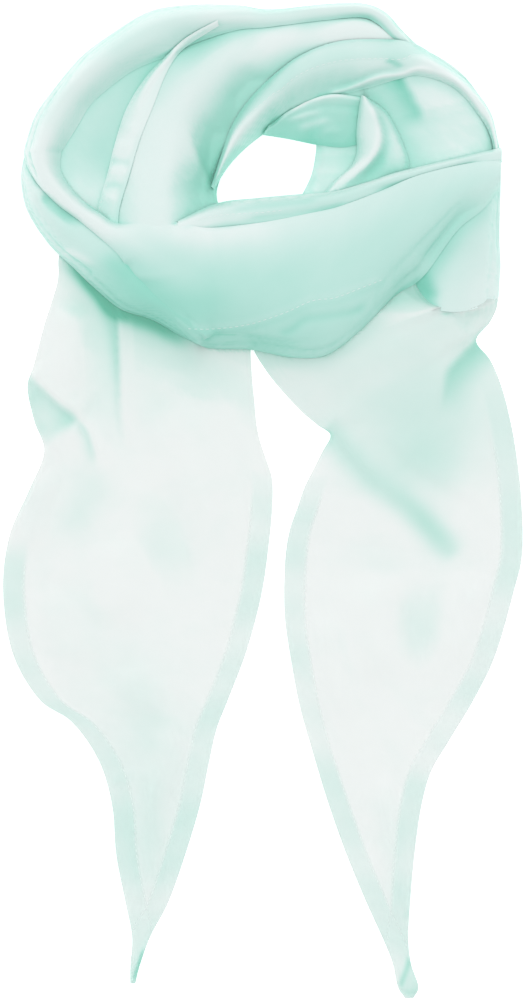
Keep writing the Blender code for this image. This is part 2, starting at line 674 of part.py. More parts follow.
def hidden_profile(spoke):
    """The cross-section of the hidden layers at a spoke, from the hole's foot to the rim's foot."""
    hole_r, crest_r, rim_r, hole_z, crest_z, rise = spoke
    profile = [(hole_r, 0), (hole_r, hole_z)]
    for share in SLOPE_PLACES:
        z = hole_z + (crest_z - hole_z) * rounded_rise(share, rise)
        profile.append((hole_r + (crest_r - hole_r) * share, z))
    for layer in range(1, 2 * RIM_LAYERS):
        share = layer / (2 * RIM_LAYERS)
        out = rim_r - crest_r
        step = LAYER_STEP if layer % 2 else -LAYER_STEP
        z = crest_z * (1 - share)
        profile.append((crest_r + out * rounded_rise(share, ROLLED) + step, z))
    profile.append((rim_r, 0))
    return profile


def hidden_layers():
    """One rounded ring for the turns that nothing shows of. Returns its grid of points too."""
    closed = HIDDEN_LAYERS[-2:] + HIDDEN_LAYERS + HIDDEN_LAYERS[:3]
    places = 2 + np.arange(SPOKES) * len(HIDDEN_LAYERS) / SPOKES
    grid = []
    for k, spoke in enumerate(smooth_through(closed, places)):
        angle = 2 * math.pi * k / SPOKES
        grid.append([(RING_X + r * math.cos(angle), RING_Y + r * math.sin(angle), z)
                     for r, z in hidden_profile(spoke)])
    grid = np.array(grid)
    rows, columns = grid.shape[:2]
    faces = []
    for i in range(rows):
        after = (i + 1) % rows
        for j in range(columns):
            beyond = (j + 1) % columns
            faces.append([i * columns + j, after * columns + j,
                          after * columns + beyond, i * columns + beyond])
    faces = [face[::-1] for face in faces]
    return make_object("hidden_layers", grid.reshape(-1, 3), faces), grid


def cloth(name):
    """The cloth's finish, deeper where many layers lie together."""
    material = bpy.data.materials.new(name)
    material.use_nodes = True
    shader = material.node_tree.nodes["Principled BSDF"]
    colour = CLOTH_DEEP if name in DEEP_NODES else CLOTH_LIGHT
    shader.inputs["Base Color"].default_value = (*colour, 1)
    shader.inputs["Roughness"].default_value = CLOTH_ROUGHNESS
    shader.inputs["Metallic"].default_value = 0
    return material


def make_object(name, points, faces):
    mesh = bpy.data.meshes.new(name)
    centred = points - np.array([MIDDLE_X, MIDDLE_Y, 0])
    mesh.from_pydata((centred * MM).tolist(), [], faces)
    mesh.validate()
    mesh.shade_smooth()
    mesh.set_sharp_from_angle(angle=SHARP_EDGE)
    mesh.materials.append(cloth(name))
    piece = bpy.data.objects.new(name, mesh)
    bpy.context.collection.objects.link(piece)
    return piece


def build():
    for old in list(bpy.data.objects):
        bpy.data.objects.remove(old, do_unlink=True)
    heap = Heap()
    ring, grid = hidden_layers()
    heap.lay(ring.name, np.concatenate([grid, grid[:1]]))
    for stretch in STRETCHES:
        outer, rolled = lay_stretch(stretch, heap)
        settle(outer, rolled, heap, stretch.beside)
        wall_mesh(stretch.name, outer, inner_of(outer, rolled))
        heap.lay(stretch.name, outer)


build()
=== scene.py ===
"""A sheer chiffon scarf, wound twice into a ring with two pointed ends, and laid flat.

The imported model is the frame. Each stretch of cloth that shows is laid here as a thin shell on the
form of its solid, finer and with its creases, hems and stitching. Tables are in millimetres, X to
the right across the scarf, +Y from the pointed ends to the ring, Z up from the floor.
"""

import math
from collections import namedtuple

import bpy
import numpy as np
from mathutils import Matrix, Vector
from mathutils.bvhtree import BVHTree


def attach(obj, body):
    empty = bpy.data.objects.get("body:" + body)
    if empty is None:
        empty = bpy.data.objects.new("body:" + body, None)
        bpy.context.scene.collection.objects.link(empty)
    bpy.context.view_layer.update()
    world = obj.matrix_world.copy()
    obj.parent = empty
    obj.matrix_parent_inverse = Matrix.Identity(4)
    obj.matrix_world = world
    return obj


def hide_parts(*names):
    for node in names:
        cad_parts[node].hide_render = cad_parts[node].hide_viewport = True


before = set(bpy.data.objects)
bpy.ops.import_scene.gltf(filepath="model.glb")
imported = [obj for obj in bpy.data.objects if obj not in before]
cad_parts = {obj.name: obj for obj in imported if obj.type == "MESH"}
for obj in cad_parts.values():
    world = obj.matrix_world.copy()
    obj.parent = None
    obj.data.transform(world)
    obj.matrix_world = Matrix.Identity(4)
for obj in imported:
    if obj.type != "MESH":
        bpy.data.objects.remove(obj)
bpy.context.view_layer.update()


# ------------------------------------------------------------
# The turns inside the ring. They are the same strip of chiffon, wound under the stretches that
# show, and only their folded edges are seen, at the ring's sides and down in the neck hole.
MM = 0.001
MIDDLE_X, MIDDLE_Y = 0.65, -0.3  # middle of the scarf's outline in the tables
RING_X, RING_Y = 5.0, 200.0  # middle of the neck hole
THICKNESS = 0.3  # of the cloth
CELL = 1.5  # size of a square of the height maps
HALF_WIDTH, HALF_LENGTH = 180.0, 320.0  # that the height maps cover
PILE_SAMPLES = 4  # along each side of a grid's square, for its height map

Spoke = namedtuple("Spoke", "hole_r crest_r rim_r hole_z crest_z rise")
INNER_TURNS = [  # evenly spaced, anticlockwise from +X
    Spoke(31, 126, 137, 4, 18, 2.0),
    Spoke(35, 121, 131, 4, 18, 2.0),
    Spoke(34, 98, 110, 4, 18, 0.8),
    Spoke(29, 86, 100, 4, 18, 0.5),
    Spoke(28, 81, 91, 4, 18, 0.5),
    Spoke(25, 92, 102, 4, 18, 1.0),
    Spoke(27, 104, 116, 4, 21, 1.5),
    Spoke(31, 117, 131, 4, 22, 1.2),
    Spoke(35, 122, 138, 4, 21, 1.0),
    Spoke(42, 106, 122, 4, 23, 0.7),
    Spoke(39, 88, 104, 4, 22, 0.5),
    Spoke(27, 70, 97, 4, 25, 0.5),
    Spoke(24, 62, 94, 4, 26, 0.5),
    Spoke(25, 66, 95, 4, 25, 0.5),
    Spoke(28, 74, 95, 4, 21, 0.5),
    Spoke(31, 100, 132, 4, 17, 0.9),
]
LEAD = 2  # spokes repeated before the first, to close the curves round the ring
INNER_SPOKES = 160
SLOPE_POINTS = 14  # from the hole up to the crest
EDGE_POINTS = 36  # from the crest down the ring's side
EDGE_FOLDS = 6  # folded edges on each other at the ring's side
FOLD_DEPTH = 1.6
FOLD_MIDDLE = 0.6  # share of a fold's depth that lies inside the round of the side
FOLD_DRIFT, DRIFTS = 0.7, 3  # how far the folds move up and down, and how often round the ring
INNER_LAYERS = 2.0

pile = {}  # the height map of each piece of cloth laid so far
cloths = []  # (object, grid of points, layers of cloth with painted shade and light, sides) for the colour at the end


def smooth_through(rows, places):
    """Values read at places (in rows) from smooth curves through all the columns of rows."""
    rows = np.asarray(rows, float)
    padded = np.vstack([2 * rows[0] - rows[1], rows, 2 * rows[-1] - rows[-2]])
    first = np.clip(np.floor(places).astype(int), 0, len(rows) - 2)
    t = (places - first)[:, None]
    before, start, end, after = (padded[first + k] for k in range(4))
    return 0.5 * (
        2 * start
        + (end - before) * t
        + (2 * before - 5 * start + 4 * end - after) * t**2
        + (3 * start - before - 3 * end + after) * t**3
    )


def rounded_rise(share, power):
    """From 0 at an edge to 1 at the crest, the more steeply the smaller the power."""
    return (1 - (1 - np.clip(share, 0, 1)) ** 2) ** power


def add_to_pile(name, points):
    """Keeps the height map of a laid grid of points."""
    heights = np.zeros((int(2 * HALF_WIDTH / CELL), int(2 * HALF_LENGTH / CELL)))
    shares = np.linspace(0, 1, PILE_SAMPLES + 1)
    for a in shares:
        for b in shares:
            p = (1 - a) * (1 - b) * points[:-1, :-1] + a * (1 - b) * points[1:, :-1]
            p = p + (1 - a) * b * points[:-1, 1:] + a * b * points[1:, 1:]
            column = ((p[..., 0] + HALF_WIDTH) / CELL).astype(int)
            row = ((p[..., 1] + HALF_LENGTH) / CELL).astype(int)
            np.maximum.at(heights, (column, row), p[..., 2])
    pile[name] = heights


def cloth_mesh(name, points, faces):
    """An object from points in the tables' millimetres."""
    mesh = bpy.data.meshes.new(name)
    centred = (points - np.array([MIDDLE_X, MIDDLE_Y, 0])) * MM
    mesh.from_pydata(centred.tolist(), [], faces)
    mesh.validate()
    mesh.shade_smooth()
    piece = bpy.data.objects.new(name, mesh)
    bpy.context.scene.collection.objects.link(piece)
    return piece


closed = INNER_TURNS[-LEAD:] + INNER_TURNS + INNER_TURNS[: LEAD + 1]
places = LEAD + np.arange(INNER_SPOKES) * len(INNER_TURNS) / INNER_SPOKES
up = np.linspace(0, 1, SLOPE_POINTS)
down = np.linspace(0, 1, EDGE_POINTS + 1)[1:]
ring_rows = []
for k, spoke in enumerate(smooth_through(closed, places)):
    hole_r, crest_r, rim_r, hole_z, crest_z, rise = spoke
    angle = 2 * math.pi * k / INNER_SPOKES
    slope_r = hole_r + (crest_r - hole_r) * up
    slope_z = hole_z + (crest_z - hole_z) * rounded_rise(up, rise)
    drift = FOLD_DRIFT * math.sin(DRIFTS * angle)
    fold = np.abs(np.sin(math.pi * EDGE_FOLDS * down + drift)) - FOLD_MIDDLE
    side_r = crest_r + (rim_r - crest_r) * rounded_rise(down, 0.5) + FOLD_DEPTH * fold
    r = np.concatenate([[hole_r], slope_r, side_r])
    z = np.concatenate([[0], slope_z, crest_z * (1 - down)])
    ring_rows.append(np.stack([RING_X + r * math.cos(angle), RING_Y + r * math.sin(angle), z], 1))
ring_grid = np.array(ring_rows)
ring_columns = ring_grid.shape[1]
ring_faces = [
    (
        i * ring_columns + (j + 1) % ring_columns,
        (i + 1) % INNER_SPOKES * ring_columns + (j + 1) % ring_columns,
        (i + 1) % INNER_SPOKES * ring_columns + j,
        i * ring_columns + j,
    )
    for i in range(INNER_SPOKES)
    for j in range(ring_columns)
]
inner_turns = cloth_mesh("inner_turns", ring_grid.reshape(-1, 3), ring_faces)
add_to_pile("inner_turns", np.concatenate([ring_grid, ring_grid[:1]]))
cloths.append((inner_turns, ring_grid, np.full(ring_grid.shape[:2], INNER_LAYERS), 1))


# Chiffon: a pale mint plain weave. Light that passes through more layers of it comes back deeper
# in colour, so each piece carries how deep its colour is at every point: its layers, with painted
# shade where light falls less on it and painted light where it falls freely.
DEEPEST = (0.15, 0.61, 0.45)  # linear colour at depth 1
LIGHTEST = (0.86, 0.95, 0.935)  # linear colour at depth 0
DEPTH_STOPS = 8
PATCH_SCALE = 45  # of the slightly lighter and deeper patches of the cloth
PATCH_DEPTH = 0.06
WEAVE_PITCH = 0.0006
WEAVE_BUMP = 0.000015
WEAVE_WAVER = 1.5  # of the threads' lines


def chiffon(name, alpha, lightest):
    """The cloth's material. Its depth of colour, with the painted shade and light in it, and the run of
    its threads come from the piece.
    """
    material = bpy.data.materials.new(name)
    material.use_nodes = True
    nodes, links = material.node_tree.nodes, material.node_tree.links
    shader = nodes["Principled BSDF"]
    shader.inputs["Roughness"].default_value = 0.7
    shader.inputs["Specular IOR Level"].default_value = 0.25
    shader.inputs["Sheen Weight"].default_value = 0.12
    shader.inputs["Sheen Roughness"].default_value = 0.5
    shader.inputs["Sheen Tint"].default_value = (0.9, 1.0, 0.97, 1)
    shader.inputs["Alpha"].default_value = alpha
    depth = nodes.new("ShaderNodeAttribute")
    depth.attribute_name = "depth"
    threads = nodes.new("ShaderNodeAttribute")
    threads.attribute_name = "threads"
    patches = nodes.new("ShaderNodeTexNoise")
    patches.inputs["Scale"].default_value = PATCH_SCALE
    patches.inputs["Detail"].default_value = 3
    links.new(threads.outputs["Vector"], patches.inputs["Vector"])
    uneven = nodes.new("ShaderNodeMath")
    uneven.operation = "MULTIPLY_ADD"
    uneven.inputs[1].default_value = PATCH_DEPTH
    uneven.inputs[2].default_value = -PATCH_DEPTH / 2
    links.new(patches.outputs["Fac"], uneven.inputs[0])
    deep = nodes.new("ShaderNodeMath")
    deep.operation = "ADD"
    links.new(depth.outputs["Fac"], deep.inputs[0])
    links.new(uneven.outputs["Value"], deep.inputs[1])
    ramp = nodes.new("ShaderNodeValToRGB")
    ramp.color_ramp.interpolation = "LINEAR"
    stops = ramp.color_ramp.elements
    for k in range(1, DEPTH_STOPS - 1):
        stops.new(k / (DEPTH_STOPS - 1))
    for k, stop in enumerate(stops):
        share = k / (DEPTH_STOPS - 1)
        stop.color = (*(a ** (1 - share) * b**share for a, b in zip(lightest, DEEPEST)), 1)
    links.new(deep.outputs["Value"], ramp.inputs["Fac"])
    links.new(ramp.outputs["Color"], shader.inputs["Base Color"])
    weave = nodes.new("ShaderNodeMath")
    weave.operation = "MULTIPLY"
    for k, direction in enumerate("XY"):
        wave = nodes.new("ShaderNodeTexWave")
        wave.bands_direction = direction
        wave.inputs["Scale"].default_value = math.pi / 10 / WEAVE_PITCH  # a band for each thread
        wave.inputs["Distortion"].default_value = WEAVE_WAVER
        links.new(threads.outputs["Vector"], wave.inputs["Vector"])
        links.new(wave.outputs["Fac"], weave.inputs[k])
    bump = nodes.new("ShaderNodeBump")
    bump.inputs["Strength"].default_value = 0.5
    bump.inputs["Distance"].default_value = WEAVE_BUMP
    links.new(weave.outputs["Value"], bump.inputs["Height"])
    links.new(bump.outputs["Normal"], shader.inputs["Normal"])
    return material


deep_cloth = chiffon("deep_chiffon", 1.0, LIGHTEST)
inner_turns.data.materials.append(deep_cloth)
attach(inner_turns, "root")
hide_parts("hidden_layers")


# ------------------------------------------------------------
# The lowest layer at the right of the neck hole. Chiffon, up to four layers, that lies on the
# slope of the turns inside the ring and shows where it comes down into the hole.
ROLLED, BENT, FLAT = 0.5, 1.0, 2.0  # how the cloth comes down to an edge, upright to gently
SEAM = 0.25  # clear gap to the smoothed pile below
CLOSE_SEAM = 0.1  # and to the cloth itself, which an edge comes down to
STANDS = 1.0  # a crest higher than this stands above the pile, and a lower one lies on it
FINE = 40  # points per row when the length of a table is measured
LINE_POINTS = 16  # per point of a crease's line
EDGE_REACH = 3.0  # over which an edge comes down onto the cloth below
EDGE_DROP = 3.0  # at most
EASINGS = 2  # rounds of easing along the cloth, over its creases
JOIN_TAPER = 0.15  # share of a joined line at each end over which it fades

HEM_LAYERS = 1.25  # more than the cloth beside it
HEM_HEIGHT = 0.35
HEM_START = 0.06  # share of the cloth's length over which a hem starts to show
HEM_STEP = 4.0  # over which the hem comes up from the cloth
HEM_UNEVEN = 0.3
HEM_WAVES = ((13, 1, 0), (5.3, 0.6, 1), (31, 0.5, 2))  # each one's length, strength and start
FLOOR_GAP = 0.02  # under the lowest cloth
SHARP = math.radians(50)  # edges that bend more than this aren't shaded smooth

# A cross-section of a stretch: its left edge, crest and right edge from above, the crest's height
# (0 only lies on what is below), and how many layers deep its colour is at the three places. Above
# the cloth's own layers this holds painted shade, where less light reaches it, and below one painted
# light, where light falls freely on it or shines through from the floor.
Section = namedtuple(
    "Section",
    "left_x left_y crest_x crest_y right_x right_y crest_z left_layers crest_layers right_layers",
    defaults=(1, 1, 1),
)

# A crease: a soft ridge (a trough, with a height below 0) along a smooth line, or with a side of
# 1 or -1 a pleat, whose left or right side stands higher and comes back down over the width.
# It grows over the first share of its length and fades over the last, and makes the colour more
# layers deep along a ridge or trough, or below a pleat, where the cloth is doubled, and paints shade
# where shade falls, even with no height; below 0 it makes the colour less deep, painted light on a
# bright crest. The pleat steps up over its edge.
Crease = namedtuple("Crease", "line width height side grow fade layers edge", defaults=(0, 3.0))

# A line along which a stretch dips under the cloth beside it and so runs on without an edge.
Join = namedtuple("Join", "line width depth")

# A hem along one edge, which shows from a share of the cloth's length on.
Hem = namedtuple("Hem", "width start")


def even_places(rows, pitch):
    """Places along the rows, about pitch apart along the crest."""
    fine = np.linspace(0, len(rows) - 1, FINE * len(rows))
    steps = np.hypot(*np.diff(smooth_through(rows, fine)[:, 2:4], axis=0).T)
    along = np.concatenate([[0], np.cumsum(steps)])
    count = max(2, round(along[-1] / pitch))
    return np.interp(np.linspace(0, along[-1], count + 1), along, fine)


def pile_height(x, y, without=(), close=False):
    """The pile's height under each point: smooth and never below the cloth, or close to it."""
    joined = np.max([m for name, m in pile.items() if name not in without], axis=0)
    if not close:
        joined = np.max([np.roll(joined, s, a) for a in (0, 1) for s in (-1, 0, 1)], axis=0)
        for axis in (0, 1):
            joined = (np.roll(joined, 1, axis) + 2 * joined + np.roll(joined, -1, axis)) / 4
    u = np.clip((x + HALF_WIDTH) / CELL - 0.5, 0, joined.shape[0] - 1.01)
    v = np.clip((y + HALF_LENGTH) / CELL - 0.5, 0, joined.shape[1] - 1.01)
    i, j = u.astype(int), v.astype(int)
    u, v = u - i, v - j
    near = joined[i, j] * (1 - u) + joined[i + 1, j] * u
    far = joined[i, j + 1] * (1 - u) + joined[i + 1, j + 1] * u
    return near * (1 - v) + far * v


def swell(t):
    """From 0 to 1 as t does, gently at both ends."""
    t = np.clip(t, 0, 1)
    return t * t * (3 - 2 * t)


def off_line(x, y, line):
    """How far along a smooth line each point lies, from 0 to 1, and how far off it to the left."""
    places = np.linspace(0, len(line) - 1, LINE_POINTS * len(line))
    path = smooth_through(line, places)
    flat_x, flat_y = x.reshape(-1, 1), y.reshape(-1, 1)
    nearest = np.argmin((flat_x - path[:, 0]) ** 2 + (flat_y - path[:, 1]) ** 2, axis=1)
    run = np.gradient(path, axis=0)
    run /= np.linalg.norm(run, axis=1, keepdims=True)
    to_x, to_y = x.ravel() - path[nearest, 0], y.ravel() - path[nearest, 1]
    square = run[nearest, 0] * to_y - run[nearest, 1] * to_x
    ahead = run[nearest, 0] * to_x + run[nearest, 1] * to_y
    ends = (nearest == 0) | (nearest == len(path) - 1)
    off = np.sign(square) * np.hypot(square, np.where(ends, ahead, 0))
    return (places[nearest] / places[-1]).reshape(x.shape), off.reshape(x.shape)


def crease_shape(x, y, crease):
    """The crease's height at each point, and the layers and painted shade that it adds."""
    along, off = off_line(x, y, crease.line)
    taper = swell(along / max(crease.grow, 0.01)) * swell((1 - along) / max(crease.fade, 0.01))
    if crease.side == 0:
        shape = taper * np.exp(-((off / crease.width) ** 2))
        return crease.height * shape, crease.layers * shape
    high = off * crease.side
    edge = swell(high / crease.edge + 0.5)
    rise = taper * edge * np.exp(-np.maximum(high, 0) / crease.width)
    under = taper * (1 - edge) * np.exp(-((high / crease.width) ** 2))
    return crease.height * rise, crease.layers * under


def laid_grid(rows, rises, pitch, columns, creases=(), without=(), joined=(), edges=(0, -1)):
    """The grid of points of a stretch of cloth laid on the pile, with its layers and painted shade as a
    fourth value.

    Its sides come up to the crest as the left and right of the rises say, one value or one for
    each row. It is laid on all the pile but the maps that without names, and the edges that are
    given, 0 the left and -1 the right, come down onto the cloth below.
    """
    places = even_places(rows, pitch)
    table = smooth_through(rows, places)
    left_rise, right_rise = (
        np.interp(places, np.arange(len(rows)), np.broadcast_to(rise, len(rows)))[:, None]
        for rise in rises
    )
    left, crest, right, crest_z = table[:, 0:2], table[:, 2:4], table[:, 4:6], table[:, 6:7]
    to_left = np.hypot(*(crest - left).T)[:, None]
    to_right = np.hypot(*(right - crest).T)[:, None]
    middle = to_left / (to_left + to_right)
    # From above, each row is a curve through its left edge, crest and right edge.
    share = (1 - np.cos(np.linspace(0, math.pi, columns)))[None, :] / 2
    weights = (
        (share - middle) * (share - 1) / middle,
        share * (share - 1) / (middle * (middle - 1)),
        share * (share - middle) / (1 - middle),
    )
    xy = sum(k[:, :, None] * side[:, None, :] for k, side in zip(weights, (left, crest, right)))
    x, y = xy[:, :, 0], xy[:, :, 1]
    # It comes up from the pile at both edges to its crest, or lies on the pile.
    lowest = pile_height(x, y, without) + SEAM + THICKNESS
    left_z, right_z = lowest[:, :1], lowest[:, -1:]
    up_left, up_right = share / middle, (1 - share) / (1 - middle)
    from_left = left_z + (crest_z - left_z) * rounded_rise(up_left, left_rise)
    from_right = right_z + (crest_z - right_z) * rounded_rise(up_right, right_rise)
    arch = np.where(share < middle, from_left, from_right)
    z = np.where(crest_z > STANDS, arch, left_z + (right_z - left_z) * share)
    z = np.maximum(z, lowest)
    left_layers_and_shade, crest_layers_and_shade, right_layers_and_shade = table[:, 7:8], table[:, 8:9], table[:, 9:10]
    layers = np.where(
        share < middle,
        left_layers_and_shade + (crest_layers_and_shade - left_layers_and_shade) * swell(up_left),
        right_layers_and_shade + (crest_layers_and_shade - right_layers_and_shade) * swell(up_right),
    )
    # Its creases, eased with the grid's points beside each one, and then the cloth along them.
    raised, doubled_and_shade = np.zeros_like(z), np.zeros_like(z)
    for crease in creases:
        height, extra = crease_shape(x, y, crease)
        raised += height
        doubled_and_shade += extra
    for field in (raised, raised, doubled_and_shade):
        field[1:-1] = (field[:-2] + 2 * field[1:-1] + field[2:]) / 4
        field[:, 1:-1] = (field[:, :-2] + 2 * field[:, 1:-1] + field[:, 2:]) / 4
    z = np.maximum(z + raised, lowest)
    for _ in range(EASINGS):
        eased = z.copy()
        eased[1:-1] = (z[:-2] + 2 * z[1:-1] + z[2:]) / 4
        z = np.maximum(eased, lowest)
    # Its side edges come down onto the cloth below, and its joined lines go in under the cloth.
    touching = pile_height(x, y, without, close=True) + THICKNESS + CLOSE_SEAM
    for side in edges:
        off_edge = np.hypot(x - x[:, side, None], y - y[:, side, None])
        drop = np.clip(z[:, side] - touching[:, side], 0, EDGE_DROP)[:, None]
        z = z - drop * swell(1 - off_edge / EDGE_REACH)
    z = np.maximum(z, touching)
    for join in joined:
        z -= crease_shape(x, y, Crease(*join, side=0, grow=JOIN_TAPER, fade=JOIN_TAPER))[0]
    return np.stack([x, y, z, layers + doubled_and_shade], axis=2)


def grid_normals(points):
    """The direction that each point of a grid faces."""
    normals = np.cross(np.gradient(points, axis=0), np.gradient(points, axis=1))
    return normals / (np.linalg.norm(normals, axis=2, keepdims=True) + 1e-12)


def sewn_cloth(name, grid, material, hems=(None, None)):
    """A thin closed shell of cloth from its grid, with the hems of its left and right edge."""
    if grid_normals(grid[:, :, :3])[:, :, 2].mean() < 0:  # laid with its back up, so turned
        grid, hems = grid[:, ::-1], hems[::-1]
    points, layers = grid[:, :, :3].copy(), grid[:, :, 3].copy()
    steps = np.linalg.norm(np.diff(points, axis=1), axis=2)
    across = np.concatenate([np.zeros((len(points), 1)), np.cumsum(steps, axis=1)], axis=1)
    lengths = np.linalg.norm(np.diff(points, axis=0), axis=2).mean(1)
    along = np.concatenate([[0], np.cumsum(lengths)])
    hem = np.zeros(across.shape)
    share = (along / along[-1])[:, None]
    for sewn, inside in zip(hems, (across, across[:, -1:] - across)):
        if sewn:
            shows = swell((share - sewn.start) / HEM_START + 1)
            hem = np.maximum(hem, shows * swell((sewn.width - inside) / HEM_STEP + 0.5))
    uneven = sum(high * np.sin(along / long + start) for long, high, start in HEM_WAVES)[:, None]
    points[:, :, 2] += HEM_HEIGHT * hem
    layers += HEM_LAYERS * hem * (1 + HEM_UNEVEN * uneven)
    # The top, the same sheet again below it, and the rim between them.
    rows, columns = points.shape[:2]
    inner = points - THICKNESS * grid_normals(points)
    inner[:, :, 2] = np.maximum(inner[:, :, 2], FLOOR_GAP)
    count = rows * columns
    i, j = np.meshgrid(np.arange(rows - 1), np.arange(columns - 1), indexing="ij")
    a = (i * columns + j).ravel()
    top = np.stack([a, a + columns, a + columns + 1, a + 1], 1)
    rim = [(k, 0) for k in range(rows)] + [(rows - 1, k) for k in range(1, columns)]
    rim += [(k, columns - 1) for k in range(rows - 2, -1, -1)]
    rim += [(0, k) for k in range(columns - 2, 0, -1)]
    rim = np.array([p * columns + q for p, q in rim])
    after = np.roll(rim, -1)
    side = np.stack([after, rim, rim + count, after + count], 1)
    faces = np.concatenate([top, top[:, ::-1] + count, side]).tolist()
    piece = cloth_mesh(name, np.vstack([points.reshape(-1, 3), inner.reshape(-1, 3)]), faces)
    piece.data.set_sharp_from_angle(angle=SHARP)
    threads = np.stack([across, np.broadcast_to(along[:, None], across.shape), 0 * across], 2)
    values = piece.data.attributes.new("threads", "FLOAT_VECTOR", "POINT")
    values.data.foreach_set("vector", np.tile(threads.reshape(-1, 3) * MM, (2, 1)).ravel())
    piece.data.materials.append(material)
    add_to_pile(name, points)
    cloths.append((piece, points, layers, 2))
    return piece


NECK_BASE = [
    Section(33, 221, 46, 222, 62, 224, 0, 4, 4, 4),
    Section(32.7, 210, 46, 210, 61, 211, 0, 0.5, 0.5, 1.5),
    Section(30, 196, 44, 195.5, 58, 196, 0, -1, -1, 0),
    Section(24, 183, 37, 181.5, 49, 181, 0, 0.5, 0.5, 1),
]
grid = laid_grid(NECK_BASE, (BENT, BENT), pitch=1.8, columns=16)
neck_base = sewn_cloth("neck_base_cloth", grid, deep_cloth)
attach(neck_base, "root")
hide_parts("neck_base")


# ------------------------------------------------------------
# The hollow of the inner turn at the right of the hole, a broad shallow bowl. Chiffon, one or two
# layers, that lies on the turns inside the ring, with one short pleat from its upper edge.
layered_cloth = chiffon("layered_chiffon", 1.0, LIGHTEST)

INNER_RIGHT = [
    Section(62, 254, 90, 262, 113, 258, 0, 3, 3, 2),
    Section(62, 240, 98, 247, 130, 242, 0, 2, 1.5, 1),
    Section(64, 226, 101, 228, 138.7, 223.4, 0, 2, 0.8, 0.2),
    Section(67, 210, 103, 210, 142, 206, 0, 2, 0.6, 0),
    Section(58, 194, 96, 196, 134, 195, 0, 2, 1.2, 1),
    Section(52, 185, 88, 188, 124, 189, 0, 2, 2, 2),
]
# The pleat paints shade below it, and the last crease is painted shade only, along the bowl's upper part.
INNER_RIGHT_CREASES = [
    Crease([(82, 260), (88, 247), (94, 236), (99, 226)], 9, 2.4, 1, 0.05, 0.3, 8, 1.2),
    Crease([(104, 236), (114, 226), (126, 214)], 14, -2, 0, 0.3, 0.4),
    Crease([(66, 244), (80, 249), (100, 251), (122, 240), (134, 222)], 3, 0, 0, 0.2, 0.3, 1.5),
]
grid = laid_grid(
    INNER_RIGHT, (FLAT, FLAT), pitch=1.6, columns=50, creases=INNER_RIGHT_CREASES, edges=(0,)
)
inner_right = sewn_cloth("inner_right_cloth", grid, layered_cloth)
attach(inner_right, "root")
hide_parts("inner_right")


# ------------------------------------------------------------
# The deep panel inside the outer turn at the upper left. It is a lower turn of the strip, several
# layers of chiffon, and lies on the turns inside the ring.
# Its colour is deepest beside the outer turn's inner edge: painted shade where that roll shades it.
SIDE_PANEL = [
    Section(-56, 273, -52, 268, -47, 263, 0, 4, 4, 4),
    Section(-80, 264, -72, 256, -60, 245, 0, 5.5, 4, 3.5),
    Section(-103, 247, -91, 238, -70, 222, 0, 5, 3.5, 3),
    Section(-121, 226, -106, 215, -78, 197, 0, 5, 3, 3),
    Section(-128, 208, -110, 199, -82, 184, 0, 3, 1, 1),
    Section(-127, 194, -108, 187, -84, 173, 0, 1, -0.5, 0),
    Section(-119, 182, -104, 176, -85, 163, 0, 0, -0.5, 0),
]
grid = laid_grid(SIDE_PANEL, (FLAT, FLAT), pitch=1.6, columns=34)
side_panel = sewn_cloth("side_panel_cloth", grid, deep_cloth)
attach(side_panel, "root")
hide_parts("side_panel")


# ------------------------------------------------------------
# The broad turn that sweeps from the top right round the neck hole's left side and comes up into
# the front band. Chiffon, one to four layers, loosely rolled over at its outer edge.
INNER_TURN = [
    Section(91, 275, 87, 270, 82, 262, 18, 0, -2, -1),
    Section(83, 283, 77, 278, 70, 269, 20.5, 1, -3, -2),
    Section(62, 293, 58, 283, 52, 266, 22.5, 3, -4, 0),
    Section(36, 294, 33, 279, 30, 259, 24, 4, 0.5, 1.5),
    Section(4, 290, 4, 273, 6, 246, 25, 4, 1, 2),
    Section(-20, 286, -15, 268, -5, 237, 25, 4.5, 1.6, 1.4),
    Section(-40, 276, -34, 255, -14, 223, 25, 4, 1.8, 1.2),
    Section(-60, 262, -48, 239, -20, 209, 25, 3, 1.7, 1.2),
    Section(-75, 239, -54, 221, -24, 196, 26, 2, 1.6, 1.4),
    Section(-81.5, 215, -58, 201, -27, 185, 28.5, 1.6, 1.5, 2.4),
    Section(-87, 194, -61, 183, -25, 174, 32.5, 1.6, 1.7, 1.8),
    Section(-92, 174, -62, 166, -22, 163, 36, 1.8, 1.8, 1.8),
    Section(-94, 155, -62, 150, -20, 150, 36.5, 1.2, 1.2, 1.2),
]
INNER_TURN_RISES = ([0.5, 0.35, 0.3, 0.3, 0.35, 0.6, 1.1, 1.1, 1.1, 1.1, 1.1, 1, 1], FLAT)
# The pleat paints shade on its low side, and the last ridge a highlight on its crest.
INNER_TURN_CREASES = [
    Crease([(-3, 262), (-10, 246), (-14, 232)], 12, -2.4, 0, 0.3, 0.4, 0.3),
    Crease(
        [(-33, 236), (-41, 220), (-37, 205), (-32, 195), (-28.5, 187), (-25.5, 178)],
        16, 5, -1, 0.45, 0.05, 1.4, 2.5,
    ),
    Crease([(28, 285), (10, 280), (-8, 272)], 8, 1, 0, 0.3, 0.3, -0.6),
]
grid = laid_grid(
    INNER_TURN, INNER_TURN_RISES, pitch=1.6, columns=56, creases=INNER_TURN_CREASES
)
inner_turn = sewn_cloth("inner_turn_cloth", grid, layered_cloth)
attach(inner_turn, "root")
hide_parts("inner_turn")


